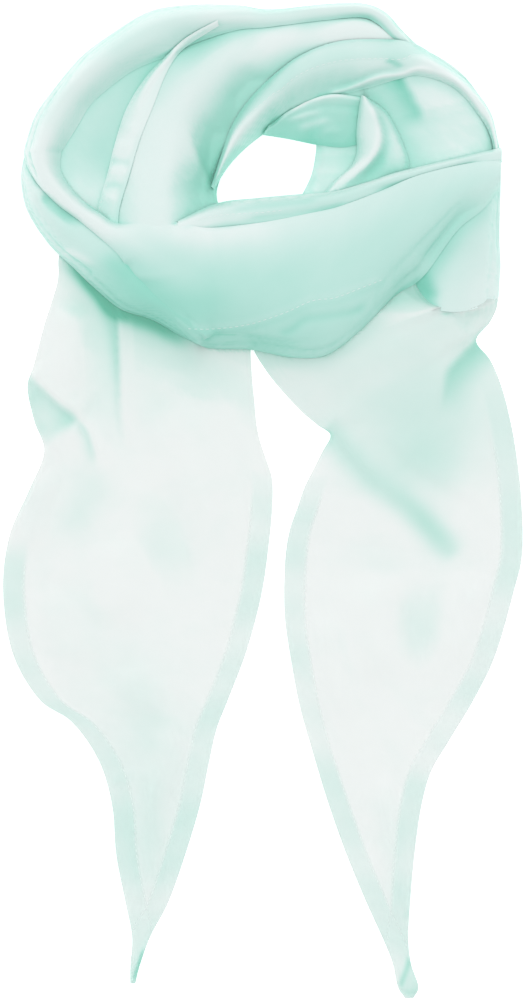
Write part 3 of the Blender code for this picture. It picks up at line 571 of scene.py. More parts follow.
# ------------------------------------------------------------
# The left pointed end, which lies on the floor below the ring. A single layer of sheer chiffon,
# gathered a little where it leaves the ring, with a narrow hem turned under along its edges and
# topstitched.
SINGLE_LAYER = (0.92, 0.955, 0.945)  # linear colour of one layer
SHEER_ALPHA = 0.67
END_HEM = 12.5
STITCH, STITCH_GAP = 2.3, 1.2
STITCH_WIDTH, STITCH_HEIGHT = 0.4, 0.12
STITCH_PLACES = (0, 0.3, 0.7, 1)  # of the cross-sections along a stitch
STITCH_SIZES = (0.3, 1, 1, 0.3)  # and how full each of them is
STITCH_SINK = 0.05  # of its sides into the cloth


def sewing_thread():
    """The thread's material: pale mint, twisted from two strands."""
    material = bpy.data.materials.new("sewing_thread")
    material.use_nodes = True
    nodes, links = material.node_tree.nodes, material.node_tree.links
    shader = nodes["Principled BSDF"]
    shader.inputs["Base Color"].default_value = (0.88, 0.97, 0.95, 1)
    shader.inputs["Roughness"].default_value = 0.5
    strands = nodes.new("ShaderNodeTexWave")
    strands.bands_direction = "DIAGONAL"
    strands.inputs["Scale"].default_value = 900
    links.new(nodes.new("ShaderNodeTexCoord").outputs["Object"], strands.inputs["Vector"])
    twist = nodes.new("ShaderNodeBump")
    twist.inputs["Distance"].default_value = 0.00003
    links.new(strands.outputs["Fac"], twist.inputs["Height"])
    links.new(twist.outputs["Normal"], shader.inputs["Normal"])
    return material


def inset_line(grid, side, inset, first=0.0, last=1.0):
    """A line along the cloth at a distance in from its left (0) or right (1) edge."""
    points = grid[:, ::-1, :3] if side else grid[:, :, :3]
    steps = np.linalg.norm(np.diff(points, axis=1), axis=2)
    across = np.concatenate([np.zeros((len(points), 1)), np.cumsum(steps, axis=1)], axis=1)
    line = [[np.interp(inset, a, p[:, k]) for k in (0, 1)] for a, p in zip(across, points)]
    return line[round(first * len(line)) : round(last * len(line))]


def stitched(name, cloth, *lines):
    """Rows of stitches that lie on the cloth along the lines."""
    corners = [vertex.co for vertex in cloth.data.vertices]
    surface = BVHTree.FromPolygons(corners, [list(face.vertices) for face in cloth.data.polygons])
    points, faces = [], []
    for line in lines:
        line = np.asarray(line, float)
        along = np.concatenate([[0], np.cumsum(np.hypot(*np.diff(line, axis=0).T))])
        for start in np.arange(0, along[-1] - STITCH, STITCH + STITCH_GAP):
            at = start + STITCH * np.array(STITCH_PLACES)
            x, y = np.interp(at, along, line[:, 0]), np.interp(at, along, line[:, 1])
            run = Vector((x[-1] - x[0], y[-1] - y[0], 0)).normalized()
            above = [((u - MIDDLE_X) * MM, (v - MIDDLE_Y) * MM, 1) for u, v in zip(x, y)]
            hits = [surface.ray_cast(place, (0, 0, -1)) for place in above]
            if any(hit[0] is None for hit in hits):
                continue
            first = len(points)
            for hit, size in zip(hits, STITCH_SIZES):
                out = hit[1].normalized()
                across = run.cross(out).normalized() * STITCH_WIDTH * size / 2
                centre = hit[0] / MM + Vector((MIDDLE_X, MIDDLE_Y, 0))
                top = centre + out * STITCH_HEIGHT * size
                points += [centre - across - out * STITCH_SINK, top - across * 0.5]
                points += [top + across * 0.5, centre + across - out * STITCH_SINK]
            for k in range(3):
                a = first + 4 * k
                faces += [(a + j, a + (j + 1) % 4, a + 4 + (j + 1) % 4, a + 4 + j) for j in range(4)]
            faces += [(first + 3, first + 2, first + 1, first), tuple(first + 12 + j for j in range(4))]
    piece = cloth_mesh(name, np.array(points), faces)
    piece.data.materials.append(thread)
    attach(piece, "root")
    return piece


sheer_cloth = chiffon("sheer_chiffon", SHEER_ALPHA, SINGLE_LAYER)
thread = sewing_thread()

LEFT_END = [
    Section(-116, 156, -60, 126, -6, 98, 0),
    Section(-122, 147, -64, 116, -6.5, 89, 0),
    Section(-123, 131, -65, 100, -5.5, 72, 0, 0.6, 1.5, 1.2),
    Section(-131, 105, -68, 80, -4, 57, 0, 0.6, 1.5, 1.2),
    Section(-137, 82, -70, 64, -3, 46, 0, 0.6, 1.3, 1),
    Section(-141, 68, -71, 52, -1, 36, 0, 1, 1.2, 1),
    Section(-137, 48, -67, 36, 3, 24, 0),
    Section(-131, 29, -62, 20, 6.5, 12, 0),
    Section(-140, 6, -67, 1, 6.5, -4, 0),
    Section(-152, -22, -74, -24, 4.5, -26, 0),
    Section(-155.7, -55, -78, -56, 0, -57, 0),
    Section(-150, -92, -80, -92, -9, -91, 0, 1, 1.2, 1),
    Section(-134, -120, -77, -120, -20, -120, 0, 1, 1.6, 1.2),
    Section(-114, -134, -70, -136, -27, -138, 0, 1.3, 2, 1.3),
    Section(-98, -157, -65, -158, -32, -160, 0, 1.5, 2, 1.4),
    Section(-90, -184, -64, -184, -37, -184, 0, 1.5, 2, 1.5),
    Section(-87.5, -214, -67, -214, -46, -214, 0, 1.5, 2, 1.5),
    Section(-82, -242, -69, -242, -56, -242, 0),
    Section(-78, -263, -72, -263, -67, -263, 0, 1, 1, 1.5),
    Section(-79, -281, -76, -281, -73.5, -281, 2.5, 1, 2, 4),
    Section(-79, -291, -77.5, -291, -76, -291, 2.5, 2, 3, 4),
]
LEFT_END_CREASES = [
    Crease([(-88, 122), (-87, 109), (-85.5, 70), (-84, 44), (-81, 26)], 22, 3.6, 1, 0.02, 0.5, 0, 1.4),
    # The trough and the pleat's low side carry painted shade along the fold.
    Crease([(-93, 120), (-90.5, 104), (-88, 84), (-86.5, 66)], 3.4, -0.5, 0, 0.02, 0.5, 2.2),
    Crease([(-88, 122), (-87, 109), (-85.5, 70), (-84, 44), (-82, 28)], 2.2, 0, 1, 0.02, 0.6, 3, 0.8),
    # Painted shadow of the front band on this end, deepest along the band's lower edge, with painted
    # shade fading below it: colour only, no height.
    Crease([(-122, 148), (-107, 136), (-98, 127), (-89, 117), (-77, 110)], 5, 0, 0, 0.4, 0.3, 32),
    Crease(
        [(-98, 127), (-88, 116), (-77, 110), (-63, 105), (-50, 98), (-38, 93)],
        4.5, 0, 0, 0.3, 0.4, 14,
    ),
    Crease([(-104, 130), (-80, 106), (-50, 94), (-20, 88)], 11, 0, 0, 0.2, 0.3, 1),
    Crease([(-114, 118), (-117, 90), (-112, 60)], 11, 3.5, 0, 0.2, 0.4, -0.4),
    Crease([(-141, 76), (-132, 67), (-122, 58), (-109, 48)], 10, 5, 1, 0.1, 0.1, 3.2, 2),
    Crease([(-109, 48), (-120, 42), (-131, 32)], 8, 3, 1, 0.1, 0.2, 1.5, 2),
    # Painted shade only, along the pocket's outer edge.
    Crease([(-141, 68), (-137, 52), (-129, 38)], 6, 0, 0, 0.2, 0.2, 1.8),
    Crease([(-111, 49), (-105, 42), (-101, 30), (-99, 16)], 5, 2, 1, 0.2, 0.4, 2.6, 1.4),
    Crease([(-94, 22), (-108, -2), (-124, -26)], 12, -2, 0, 0.3, 0.4, 1.2),
    Crease([(-128, 20), (-138, -6), (-136, -36)], 9, 3, 0, 0.3, 0.4, 0.3),
    Crease([(-56, 20), (-54, -24), (-44, -64)], 16, -2, 0, 0.4, 0.5, 0.5),
    Crease([(-60, 60), (-40, 20), (-30, -60)], 18, 5, 0, 0.3, 0.4),
    Crease([(-90, -20), (-84, -50), (-90, -80)], 16, 4, 0, 0.3, 0.4, -0.3),
    Crease([(-124, -50), (-118, -80), (-100, -106)], 14, 3, 0, 0.3, 0.4, 0.3),
    Crease([(-84, -100), (-74, -116), (-54, -128)], 10, 2.5, 0, 0.3, 0.4, 0.5),
    Crease([(-66, -150), (-68, -200), (-66, -255)], 8, 3.5, 0, 0.3, 0.2, 0.6),
    Crease([(-50, -130), (-58, -160), (-62, -190)], 8, 2.5, 0, 0.3, 0.4),
    Crease([(-92, -172), (-84, -168), (-78, -170)], 3, 1.2, 0, 0.3, 0.3, 0.5),
    Crease([(-71, -270), (-74, -280), (-77, -289)], 1.1, 0.8, 0, 0.15, 0.1, 6),
]
grid = laid_grid(LEFT_END, (FLAT, FLAT), pitch=1.6, columns=136, creases=LEFT_END_CREASES)
left_end = sewn_cloth(
    "left_end_cloth", grid, sheer_cloth, hems=(Hem(END_HEM, start=0.42), Hem(END_HEM, start=0.3))
)
left_end_stitches = stitched(
    "left_end_stitches",
    left_end,
    inset_line(grid, 0, END_HEM, first=0.4, last=0.97),
    inset_line(grid, 1, END_HEM, first=0.3, last=0.97),
)
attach(left_end, "root")
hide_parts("left_end")


# ------------------------------------------------------------
# The stretch that falls down the ring's right side, from the rim to the turned top of the right
# end. Chiffon, several layers, folded over along its right side, which stands upright.
WALL_FOLDS = ((0.3, 37, 0.5), (0.62, 53, 2.1))  # each one's height, wander's reach and start
WALL_WANDER = 0.08  # share of the side's height
WALL_FOLD_WIDTH = 0.09  # share of the side's height
WALL_UNEVEN, WALL_BEAT = 0.4, 1.9  # how much a fold's depth changes along it, and how often
LOW_SIDE, TALL_SIDE = 8, 18  # heights where the folds start, and where they are full


def wall_folds(grid, side, depth):
    """Presses folds into the upright left (0) or right (1) side of a roll, uneven along it."""
    points = grid[:, ::-1] if side else grid
    steps = np.hypot(*np.diff(points[:, 0, :2], axis=0).T)
    for row, along in zip(points, np.concatenate([[0], np.cumsum(steps)])):
        crest = max(1, row[:, 2].argmax())
        tall = row[crest, 2] - row[0, 2]
        level = (row[:crest, 2] - row[0, 2]) / max(tall, 1)
        inward = row[crest, :2] - row[0, :2]
        inward = inward / (np.hypot(*inward) + 1e-9)
        full = swell((tall - LOW_SIDE) / (TALL_SIDE - LOW_SIDE))
        for height, reach, start in WALL_FOLDS:
            middle = height + WALL_WANDER * math.sin(along / reach + start)
            beat = math.sin(WALL_BEAT * along / reach + 2 * start)
            strength = depth * (1 - WALL_UNEVEN + WALL_UNEVEN * beat) * full
            press = strength * np.exp(-(((level - middle) / WALL_FOLD_WIDTH) ** 2))
            row[:crest, :2] += press[:, None] * inward


RIGHT_STRAND = [
    Section(126, 193, 137, 199, 144, 203, 27, 5, 4.4, 3),
    Section(117, 180, 133, 186, 144, 188, 27, 5, 4, 3),
    Section(107, 167, 129, 172, 143.5, 173, 25, 5, 3.6, 3),
    Section(99, 156, 125, 158, 143.3, 157, 23, 5, 3.4, 2.8),
    Section(91, 147, 120, 146, 144, 142, 20, 6, 3.2, 2.4),
    Section(84, 138, 116, 133, 143.4, 133, 18, 6, 2.8, 2),
    Section(84, 127, 111, 113.2, 142.9, 122, 15.5, 5, 2.4, 2),
]
# The first crease is painted shade only, down the strand's valley; the second a trough with painted
# shade.
RIGHT_STRAND_CREASES = [
    Crease([(95, 132), (106, 147), (116, 161), (127, 172), (138, 182)], 8, 0, 0, 0.05, 0.2, 3.6),
    Crease([(93, 140), (98, 130), (103, 121)], 4.5, -1, 0, 0.1, 0.1, 4),
]
grid = laid_grid(
    RIGHT_STRAND, (BENT, ROLLED), pitch=1.7, columns=40, creases=RIGHT_STRAND_CREASES
)
wall_folds(grid, side=1, depth=1.8)
right_strand = sewn_cloth("right_strand_cloth", grid, layered_cloth)
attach(right_strand, "root")
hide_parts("right_strand")


# ------------------------------------------------------------
# The right pointed end. It comes out from under the front band, turns over once in a twist and
# lies on the floor below the ring: a single layer of sheer chiffon with the same stitched hem.
RIGHT_END = [
    Section(-4, 97, 40, 125, 88, 140, 0, 2, 2, 2),
    Section(-4.5, 90, 44, 108, 96, 124, 16, 1.5, 2, 1.5),
    Section(2, 79, 52, 98, 106, 116.5, 17, 1.8, 2, 1),
    Section(8, 71, 60, 95.5, 121, 120, 17, 1.8, 2.2, 2),
    Section(14, 64, 69, 93, 139.5, 124.6, 17, 1.8, 2.4, 2),
    Section(20, 57.5, 76, 88, 142, 117.5, 17, 1.8, 2.6, 2),
    Section(26, 51.6, 82, 79, 137.5, 107, 15, 1.8, 2.6, 2),
    Section(34, 45, 82, 68, 129.3, 96, 13, 2, 3.2, 2),
    Section(41.5, 39, 88, 57, 138, 84, 11, 2, 3.4, 2),
    Section(36.5, 29, 94, 43, 145, 67, 8, 1.5, 3.6, 2),
    Section(31, 18, 95, 29, 150.5, 45, 6, 1, 3.4, 1.6),
    Section(26, 8, 93, 14, 154, 24, 4.5, 1, 2.6, 1.4),
    Section(21.5, -5, 90, -4, 156.5, 0, 3, 0.6, 1.2, 1),
    Section(16.5, -20, 86, -24, 157, -32, 1.2, 0.7, 1, 1),
    Section(14, -40, 82, -48, 152, -55, 0),
    Section(14, -70, 77, -82, 141, -93, 0, 0.8, 0.8, 0.8),
    Section(18, -98, 74, -109, 128, -120, 0, 0.8, 0.8, 0.8),
    Section(23, -124, 70, -134, 113, -145, 0, 0.8, 0.8, 0.8),
    Section(30, -149, 66, -157, 102, -164, 0, 0.8, 0.8, 0.8),
    Section(40, -182, 68, -184, 96, -186, 0),
    Section(51, -213, 72, -214, 92, -215, 0),
    Section(63, -242, 77, -242, 89.5, -243, 0),
    Section(73, -264, 81, -264, 88.5, -264, 0),
    Section(79, -279, 84, -279, 90, -279, 1.5, 1, 1, 2),
    Section(82, -293, 88, -293, 94.5, -293, 2.5, 1, 2.5, 3),
    Section(86.5, -300, 89, -300, 91.5, -300, 1.5, 1, 2, 2),
]
RIGHT_END_RISES = (BENT, [1, 1, 1, 1, 1, 0.8, 0.8, 1, 1, 1, 1.2, 1.4] + [FLAT] * 14)
TWIST = [(37, 43), (44, 37), (65, 14), (91, -6), (118, -36)]
RIGHT_END_CREASES = [
    Crease(TWIST, 18, 3, 1, 0.03, 0.9, 0, 4),
    # Painted shade along the twist's diagonal and beside it, where the fold shades the cloth, and across
    # the upper panel.
    Crease(TWIST, 8, 0, 0, 0.08, 0.12, 2.4),
    Crease([(70, 10), (91, -6), (105, -20), (118, -36)], 7, 0, 0, 0.5, 0.12, 2.2),
    Crease([(70, 44), (86, 27), (110, 10), (138, -5)], 9, 2, 1, 0.3, 0.4, 0, 6),
    Crease([(84, 38), (104, 22), (128, 12)], 16, 0, 0, 0.3, 0.4, 0.9),
    Crease([(129, 96), (121, 88), (112, 77), (109, 63), (106, 48)], 13, 4.5, -1, 0.02, 0.6, 6.5, 2.5),
    # Painted shadow of the front band along its lower edge on this end.
    Crease([(-6, 92), (8, 88), (22, 84), (44, 90), (64, 103), (88, 125)], 6, 0, 0, 0.1, 0.2, 1.5),
    Crease([(62, -40), (70, -80), (72, -120)], 20, 5, 0, 0.3, 0.4),
    Crease([(128, -40), (118, -75), (108, -120)], 14, 4, 0, 0.3, 0.4),
    Crease([(34, -60), (40, -100), (52, -140)], 9, 3, 0, 0.3, 0.4),
    Crease([(84, -44), (92, -80), (84, -120)], 18, -2, 0, 0.4, 0.5, 0.3),
    Crease([(70, -160), (79, -210), (84, -262)], 9, 3.5, 0, 0.3, 0.2, 0.6),
    Crease([(84, -252), (90, -249), (93, -252)], 1.6, 0.8, 0, 0.3, 0.3, 1.5),
    Crease([(89.5, -276), (87, -284), (83, -294)], 1.5, -0.5, 0, 0.1, 0.1, 5),
    Crease([(83, -296), (89, -296.5), (94, -295.5)], 0.9, 0.6, 0, 0.1, 0.1, 4),
]
RIGHT_END_JOIN = Join(
    [(103, 113.8), (114, 115.6), (121, 117.6), (132, 121), (142, 124.4), (154, 129)],
    width=4,
    depth=2.8,
)
grid = laid_grid(
    RIGHT_END,
    RIGHT_END_RISES,
    pitch=1.6,
    columns=104,
    creases=RIGHT_END_CREASES,
    joined=[RIGHT_END_JOIN],
)
right_end = sewn_cloth(
    "right_end_cloth", grid, sheer_cloth, hems=(Hem(END_HEM, start=0.34), Hem(END_HEM, start=0.28))
)
right_end_stitches = stitched(
    "right_end_stitches",
    right_end,
    inset_line(grid, 0, END_HEM, first=0.32, last=0.96),
    inset_line(grid, 1, END_HEM, first=0.28, last=0.96),
)
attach(right_end, "root")
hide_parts("right_end", "right_end_turned")


# ------------------------------------------------------------
# The outer turn, first half: a roll of chiffon, one to four layers, round the top and left of the
# ring. It is one cloth with the front band. What lies on the roll is laid before that band, so
# the roll's form goes into the pile here, and the cloth itself is made further down.
OUTER_PITCH = 1.7
OUTER_COLUMNS = 64

# The roll's colour deepens down its inner side: painted shade where that side turns away from the light.
OUTER_TURN = [
    Section(94.5, 273, 91, 271.5, 87, 271, 17, 1, 1.5, 2),
    Section(85, 282, 82, 279, 79, 277, 22.5, 1, 2, 3),
    Section(75, 293.5, 73, 290, 69, 286, 24, 1, 2, 3.5),
    Section(61, 299, 60.5, 295, 59, 289.5, 25, 1, 2, 3.5),
    Section(38, 298.6, 37.5, 294.5, 36, 287.5, 26, 1, 2, 3.5),
    Section(5, 295.5, 4.5, 291, 4, 283.5, 27.5, 1, 2, 3.5),
    Section(-14, 298, -14.5, 291, -16, 281.5, 30, 1, 1.3, 4),
    Section(-43, 298.3, -42, 289, -40, 274, 33, 1.2, 2.4, 4.4),
    Section(-68, 294, -63, 283, -57, 266, 34, 0.8, 2.2, 4),
    Section(-92, 279.5, -85, 271, -75, 258.5, 34.5, 0.7, 2.2, 3.8),
    Section(-110, 265.5, -101, 259, -87, 250.5, 35, 0.6, 1.8, 3.6),
    Section(-127, 245, -117, 242, -102, 237.5, 35, 0.7, 1.5, 3.4),
    Section(-137, 230, -127, 226.5, -111, 223, 35, 0.8, 1.4, 2.8),
    Section(-143.5, 209.4, -133, 209.3, -120, 209, 35, 0.8, 0.8, 1.6),
]
OUTER_TURN_RISES = (
    ROLLED, [1, 1.1, 1.2, 1.2, 1.2, 1.3, 1.5, 1.6, 1.6, 1.5, 1.5, 1.4, 1.4, 1.3]
)
OUTER_TURN_CREASES = [
    Crease([(-30, 291), (0, 292), (36, 295)], 2.5, -1, 0, 0.3, 0.3, 1),
    Crease([(-100, 262), (-70, 280), (-36, 286)], 6, -1.2, 0, 0.3, 0.4, 0.8),
    Crease([(-128, 236), (-112, 254), (-90, 268)], 5, 1, 0, 0.3, 0.4),
    Crease([(-134, 222), (-122, 240), (-106, 252)], 7, -1, 0, 0.3, 0.4, 0.5),
]
roll_grid = laid_grid(
    OUTER_TURN,
    OUTER_TURN_RISES,
    pitch=OUTER_PITCH,
    columns=OUTER_COLUMNS,
    creases=OUTER_TURN_CREASES,
)
add_to_pile("outer_roll", roll_grid[:, :, :3])


# ------------------------------------------------------------
# The free edge of the strip, between the deep panel and the broad turn: a narrow hem of chiffon
# with one row of topstitching, puckered towards its lower end.
EDGE_STITCH_INSET = 1.6

EDGE_STRIP = [
    Section(-26, 287.5, -26, 286, -25.5, 284, 0),
    Section(-45, 277, -43.5, 275.5, -42, 274, 0),
    Section(-58, 265.5, -54.5, 265.8, -51, 266, 0, 1, 0, 1),
    Section(-70, 253, -64, 253.5, -58, 254, 0, 1, 0, 1),
    Section(-81, 235, -73, 235.5, -65, 236, 0, 1, 0, 1),
    Section(-88, 214, -80, 215, -73, 216, 0, 0, 0.5, 2),
    Section(-93, 194, -86, 194, -79.5, 194, 0, 0, 0.5, 2.5),
    Section(-98, 177, -91, 176, -85, 175, 0, 0, 0.5, 3),
    Section(-99.5, 167, -92.5, 165, -86, 162, 0, 0, 0.5, 3),
]
# Its creases paint shade in some puckers' troughs and highlights on other puckers' ridges.
EDGE_STRIP_CREASES = [
    Crease([(-44, 276), (-58, 262), (-68, 249), (-78, 228)], 1.6, 1.5, 0, 0.1, 0.3, -0.5),
    Crease([(-28, 285), (-46, 274), (-53, 266)], 1.2, -1, 0, 0.2, 0.2, 2),
    Crease([(-89, 226), (-80, 222), (-75, 221)], 2.5, 1, 0, 0.3, 0.3, 0.6),
    Crease([(-91, 216), (-82, 212), (-76, 212)], 2, 1, 0, 0.3, 0.3, -0.6),
    Crease([(-92, 204), (-84, 203), (-78, 202)], 2.2, -1.2, 0, 0.2, 0.2, 1.8),
    Crease([(-93, 197), (-86, 198), (-80, 196)], 2, 1.2, 0, 0.2, 0.2, -0.8),
    Crease([(-95, 188), (-88, 189), (-82, 187)], 1.8, -1.2, 0, 0.2, 0.2, 1.8),
    Crease([(-97, 182), (-90, 182), (-84, 180)], 2.4, 1.1, 0, 0.3, 0.3, -0.6),
]
grid = laid_grid(EDGE_STRIP, (FLAT, FLAT), pitch=1.2, columns=20, creases=EDGE_STRIP_CREASES)
edge_strip = sewn_cloth("edge_strip_cloth", grid, layered_cloth)
edge_strip_stitches = stitched(
    "edge_strip_stitches",
    edge_strip,
    inset_line(grid, 0, EDGE_STITCH_INSET, first=0.05, last=0.98),
)
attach(edge_strip, "root")
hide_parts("edge_strip")


# ------------------------------------------------------------
# The turn that crosses the top right and comes down beside the neck hole. Chiffon, with a hem
# turned under along its outer edge, and topstitched there and at the start of its inner edge. Its
# colour is one to five layers deep, the deepest being painted shade along its inner edge above the
# neck fold, and the hem's ridges carry painted highlights.
CROSSING_HEM = 14.0
CROSSING_STITCH_INSET = 2.0  # at the inner edge

CROSSING_TURN = [
    Section(144.8, 203, 142.5, 203.5, 139.5, 204, 22.5, 1, 1, 1.5),
    Section(142, 217, 140, 217, 137.8, 217, 23, 1, 1, 1.5),
    Section(137.5, 234, 135, 232, 131, 230, 24, 1, 1, 1.5),
    Section(124, 251, 121, 248.5, 116, 247, 25, 1, 1, 1.5),
    Section(105, 266.5, 101, 261, 96, 254.5, 26.5, 1.2, 1.4, 1.5),
    Section(92.5, 274, 88, 264, 82, 252.5, 26.5, 1.5, 3, 2.6),
    Section(72, 276.5, 69, 266, 63, 247, 26.5, 1.5, 2.4, 3),
    Section(46, 275, 43, 264, 40, 241.5, 26.5, 1.6, 2.6, 4.5),
    Section(24, 267, 22, 256, 22, 236, 26.5, 1.8, 2.8, 5),
    Section(6, 254, 9, 245, 12, 229, 26, 1.6, 2.6, 5),
    Section(-8, 240, -4, 232, 0, 219.5, 24, 1.4, 2.2, 4),
    Section(-18, 225, -15, 219, -11, 210.5, 21, 0.8, 1, 2),
    Section(-24.5, 207, -22.5, 204, -20.5, 200, 18, 0.8, 1, 2),
    Section(-30.5, 188.5, -29.5, 187.7, -28.5, 187, 16, 1, 1, 1.5),
]
CROSSING_TURN_RISES = (
    [0.5, 0.5, 0.6, 0.8, 1, 1.2, 1.3, 1.3, 1.2, 1, 0.8, 0.6, 0.5, 0.5],
    [1, 1, 1, 1, 1, 1.2, 1.5, 1.7, 1.7, 1.6, 1.3, 1, 1, 1],
)
CROSSING_TURN_CREASES = [
    Crease([(62, 256), (42, 252), (22, 243)], 8, -1.2, 0, 0.3, 0.3, 0.6),
    Crease([(74.5, 263), (79, 261.5), (84, 258.5)], 1.8, -2.5, -1, 0.1, 0.2, 9, 1.2),
    Crease(
        [(38, 243.5), (52, 247), (70, 253.5), (84, 255), (93, 258), (104, 257)],
        1.5, 1.6, 0, 0.1, 0.1, -2,
    ),
    Crease([(40, 246.5), (54, 250.5), (70, 256.5), (84, 258.5)], 2.2, -1.2, 0, 0.2, 0.2, 1.2),
    Crease(
        [(104, 257), (115, 252), (122, 246), (128, 238), (133, 228), (137, 216)],
        1.4, 1.0, 0, 0.1, 0.1, -1,
    ),
    Crease([(16, 256), (6, 243), (-4, 229), (-12, 215)], 4, 1.0, 0, 0.3, 0.3, -0.3),
    Crease([(32, 268), (27, 262)], 1.6, 0.7, 0, 0.3, 0.3, 0.4),
    Crease([(20, 262), (17, 255)], 1.6, 0.6, 0, 0.3, 0.3, 0.4),
    Crease([(6, 250), (7, 243)], 1.4, 0.6, 0, 0.3, 0.3, 0.4),
    Crease([(-12, 230), (-9, 224)], 1.4, 0.6, 0, 0.3, 0.3, 0.4),
]
grid = laid_grid(
    CROSSING_TURN, CROSSING_TURN_RISES, pitch=1.6, columns=60, creases=CROSSING_TURN_CREASES
)
crossing_turn = sewn_cloth(
    "crossing_turn_cloth", grid, layered_cloth, hems=(Hem(CROSSING_HEM, start=0.3), None)
)
crossing_turn_stitches = stitched(
    "crossing_turn_stitches",
    crossing_turn,
    inset_line(grid, 0, CROSSING_HEM, first=0.36, last=0.9),
    inset_line(grid, 1, CROSSING_STITCH_INSET, first=0.02, last=0.2),
)
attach(crossing_turn, "root")
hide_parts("crossing_turn")


# ------------------------------------------------------------
# The inner wall above the neck hole, where the folds of the lower turns show. Chiffon, puckered
# along its length, that lies along the crossing turn's lower edge. Its colour is up to seven layers
# deep, with painted shade down towards the hole and painted highlights on the puckers' rims.
NECK_FOLD = [
    Section(4, 224.5, 2.5, 222, 1, 219.8, 0, 4, 6, 6),
    Section(18, 234.5, 16, 227, 15, 217.6, 0, 4, 7, 7),
    Section(36, 242.7, 35, 229, 35, 213.6, 0, 3, 6, 7),
    Section(50, 243.5, 50, 229, 50, 212.3, 0, 3, 5, 6),
    Section(65, 241, 64, 228, 63, 215.5, 0, 3, 6, 6),
]
NECK_FOLD_CREASES = [
    Crease([(16, 232.5), (28, 239.5), (42, 242.5), (52, 242.5), (62, 240)], 1.3, 1.6, 0, 0.1, 0.1, -3),
    Crease([(14, 229), (24, 233.5), (38, 236.5), (52, 236), (62, 234)], 1.8, -1, 0, 0.2, 0.2, 1),
    Crease([(13, 227), (22, 230), (31, 232.5), (40, 233)], 2, 1.4, 0, 0.3, 0.4, -3),
    Crease([(20, 223), (28, 225.5), (37, 227.5), (46, 227)], 2.2, 1.4, 0, 0.3, 0.4, -3.6),
    Crease([(34, 221), (42, 222.5), (49, 222)], 1.8, 0.8, 0, 0.3, 0.3, -1.5),
]
grid = laid_grid(NECK_FOLD, (BENT, BENT), pitch=0.8, columns=44, creases=NECK_FOLD_CREASES)
neck_fold = sewn_cloth("neck_fold_cloth", grid, deep_cloth)
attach(neck_fold, "root")
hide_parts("neck_fold")


# ------------------------------------------------------------
# The leaf-shaped fold at the right of the neck hole. Chiffon, doubled over, that stands up beside
# the hole and comes to a point at the top.
NECK_LEAF = [
    Section(59.8, 243, 61.5, 242.3, 63.5, 241.5, 23),
    Section(58, 232, 65, 232.5, 74.5, 234, 25, 2.4, 2.4, 2),
    Section(57, 221, 67.5, 221, 81.5, 222.5, 25, 2, 2, 1.4),
    Section(57, 209, 67, 210, 86, 212, 25, 2, 2, 1),
    Section(53, 200, 59, 202, 89, 202, 24, 1, 1.6, 1.4),
    Section(44, 192, 50, 194, 87, 194, 23, 0.5, 1, 2),
    Section(34, 181, 39, 182, 76, 182, 22, 1, 1, 2),
]
# Painted shade down the valley beside the leaf's ridge, and painted highlights on its ridges and left
# part.
NECK_LEAF_CREASES = [
    Crease([(66, 236), (72, 227), (75, 216), (72, 205), (64, 195), (54, 188)], 3.2, -3, 0, 0.2, 0.3, 2.4),
    Crease(
        [(64.5, 238), (70, 226), (71, 216), (66.5, 205), (57, 196), (45, 188)],
        2.2, 2.2, 0, 0.1, 0.2, -2.2,
    ),
    Crease([(82, 218), (84, 206), (80, 194)], 4, 1, 0, 0.3, 0.3, -0.6),
    Crease([(58, 210), (58, 203), (50, 194), (40, 187)], 4, 0, 0, 0.3, 0.3, -0.8),
]
grid = laid_grid(NECK_LEAF, (ROLLED, BENT), pitch=1.3, columns=38, creases=NECK_LEAF_CREASES)
neck_leaf = sewn_cloth("neck_leaf_cloth", grid, layered_cloth)
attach(neck_leaf, "root")
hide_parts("neck_leaf")


# ------------------------------------------------------------
# The rolled edge that lies along the top of the front band, from the right rim to the hole's
# left corner. It is a hem of chiffon, rolled, and stitched at its left end.
# Its face is painted shade, deeper than the band beside it, where it lies in the trough; its creases
# paint a highlight along the thin ridge and shade in the trough.
ROLLED_EDGE = [
    Section(144, 211.5, 144, 208.5, 143.5, 200, 29, 1.5, 2.5, 3),
    Section(115, 205, 115, 202, 115, 191, 31, 2, 3.4, 4),
    Section(82, 197, 82, 193, 81, 181, 33.5, 2, 4, 4.4),
    Section(64, 191, 63, 186, 63, 172, 35, 2, 4.2, 4.4),
    Section(43, 185, 43, 180, 43, 165, 36, 2, 4.2, 4.4),
    Section(24, 184.2, 24, 178, 24, 160, 36.5, 2, 4.2, 4),
    Section(-3, 181.8, -3, 175, -3, 158, 36.5, 2, 3.6, 2.6),
    Section(-27, 178.5, -27, 172, -27, 157, 36, 2, 2.4, 1.4),
    Section(-50, 167, -50, 163, -50, 156, 36),
]
ROLLED_EDGE_RISES = (ROLLED, 0.35)
ROLLED_EDGE_CREASES = [
    Crease(
        [(-24, 177), (0, 180), (26, 182.5), (60, 189), (92, 198.5), (130, 206)],
        1.1, 1.0, 0, 0.1, 0.2, -2,
    ),
    Crease([(-22, 172), (-2, 175.5), (20, 178), (36, 180)], 1.8, -1.6, 0, 0.2, 0.2, 1.8),
    Crease([(-14, 168), (10, 171), (36, 174), (54, 179)], 1.6, -1.2, 0, 0.2, 0.2, 1.2),
    Crease([(-20, 170), (0, 172), (24, 174)], 1.2, 0.6, 0, 0.2, 0.2, -0.6),
    Crease([(60, 184), (98, 193), (136, 205)], 2, -1.2, 0, 0.2, 0.2, 1),
]
ROLLED_EDGE_SEAM = [(-42, 166.5), (-34, 169), (-24, 170.5), (-10, 171.5), (0, 171.8), (14, 173.5)]
grid = laid_grid(
    ROLLED_EDGE, ROLLED_EDGE_RISES, pitch=1.5, columns=30, creases=ROLLED_EDGE_CREASES
)
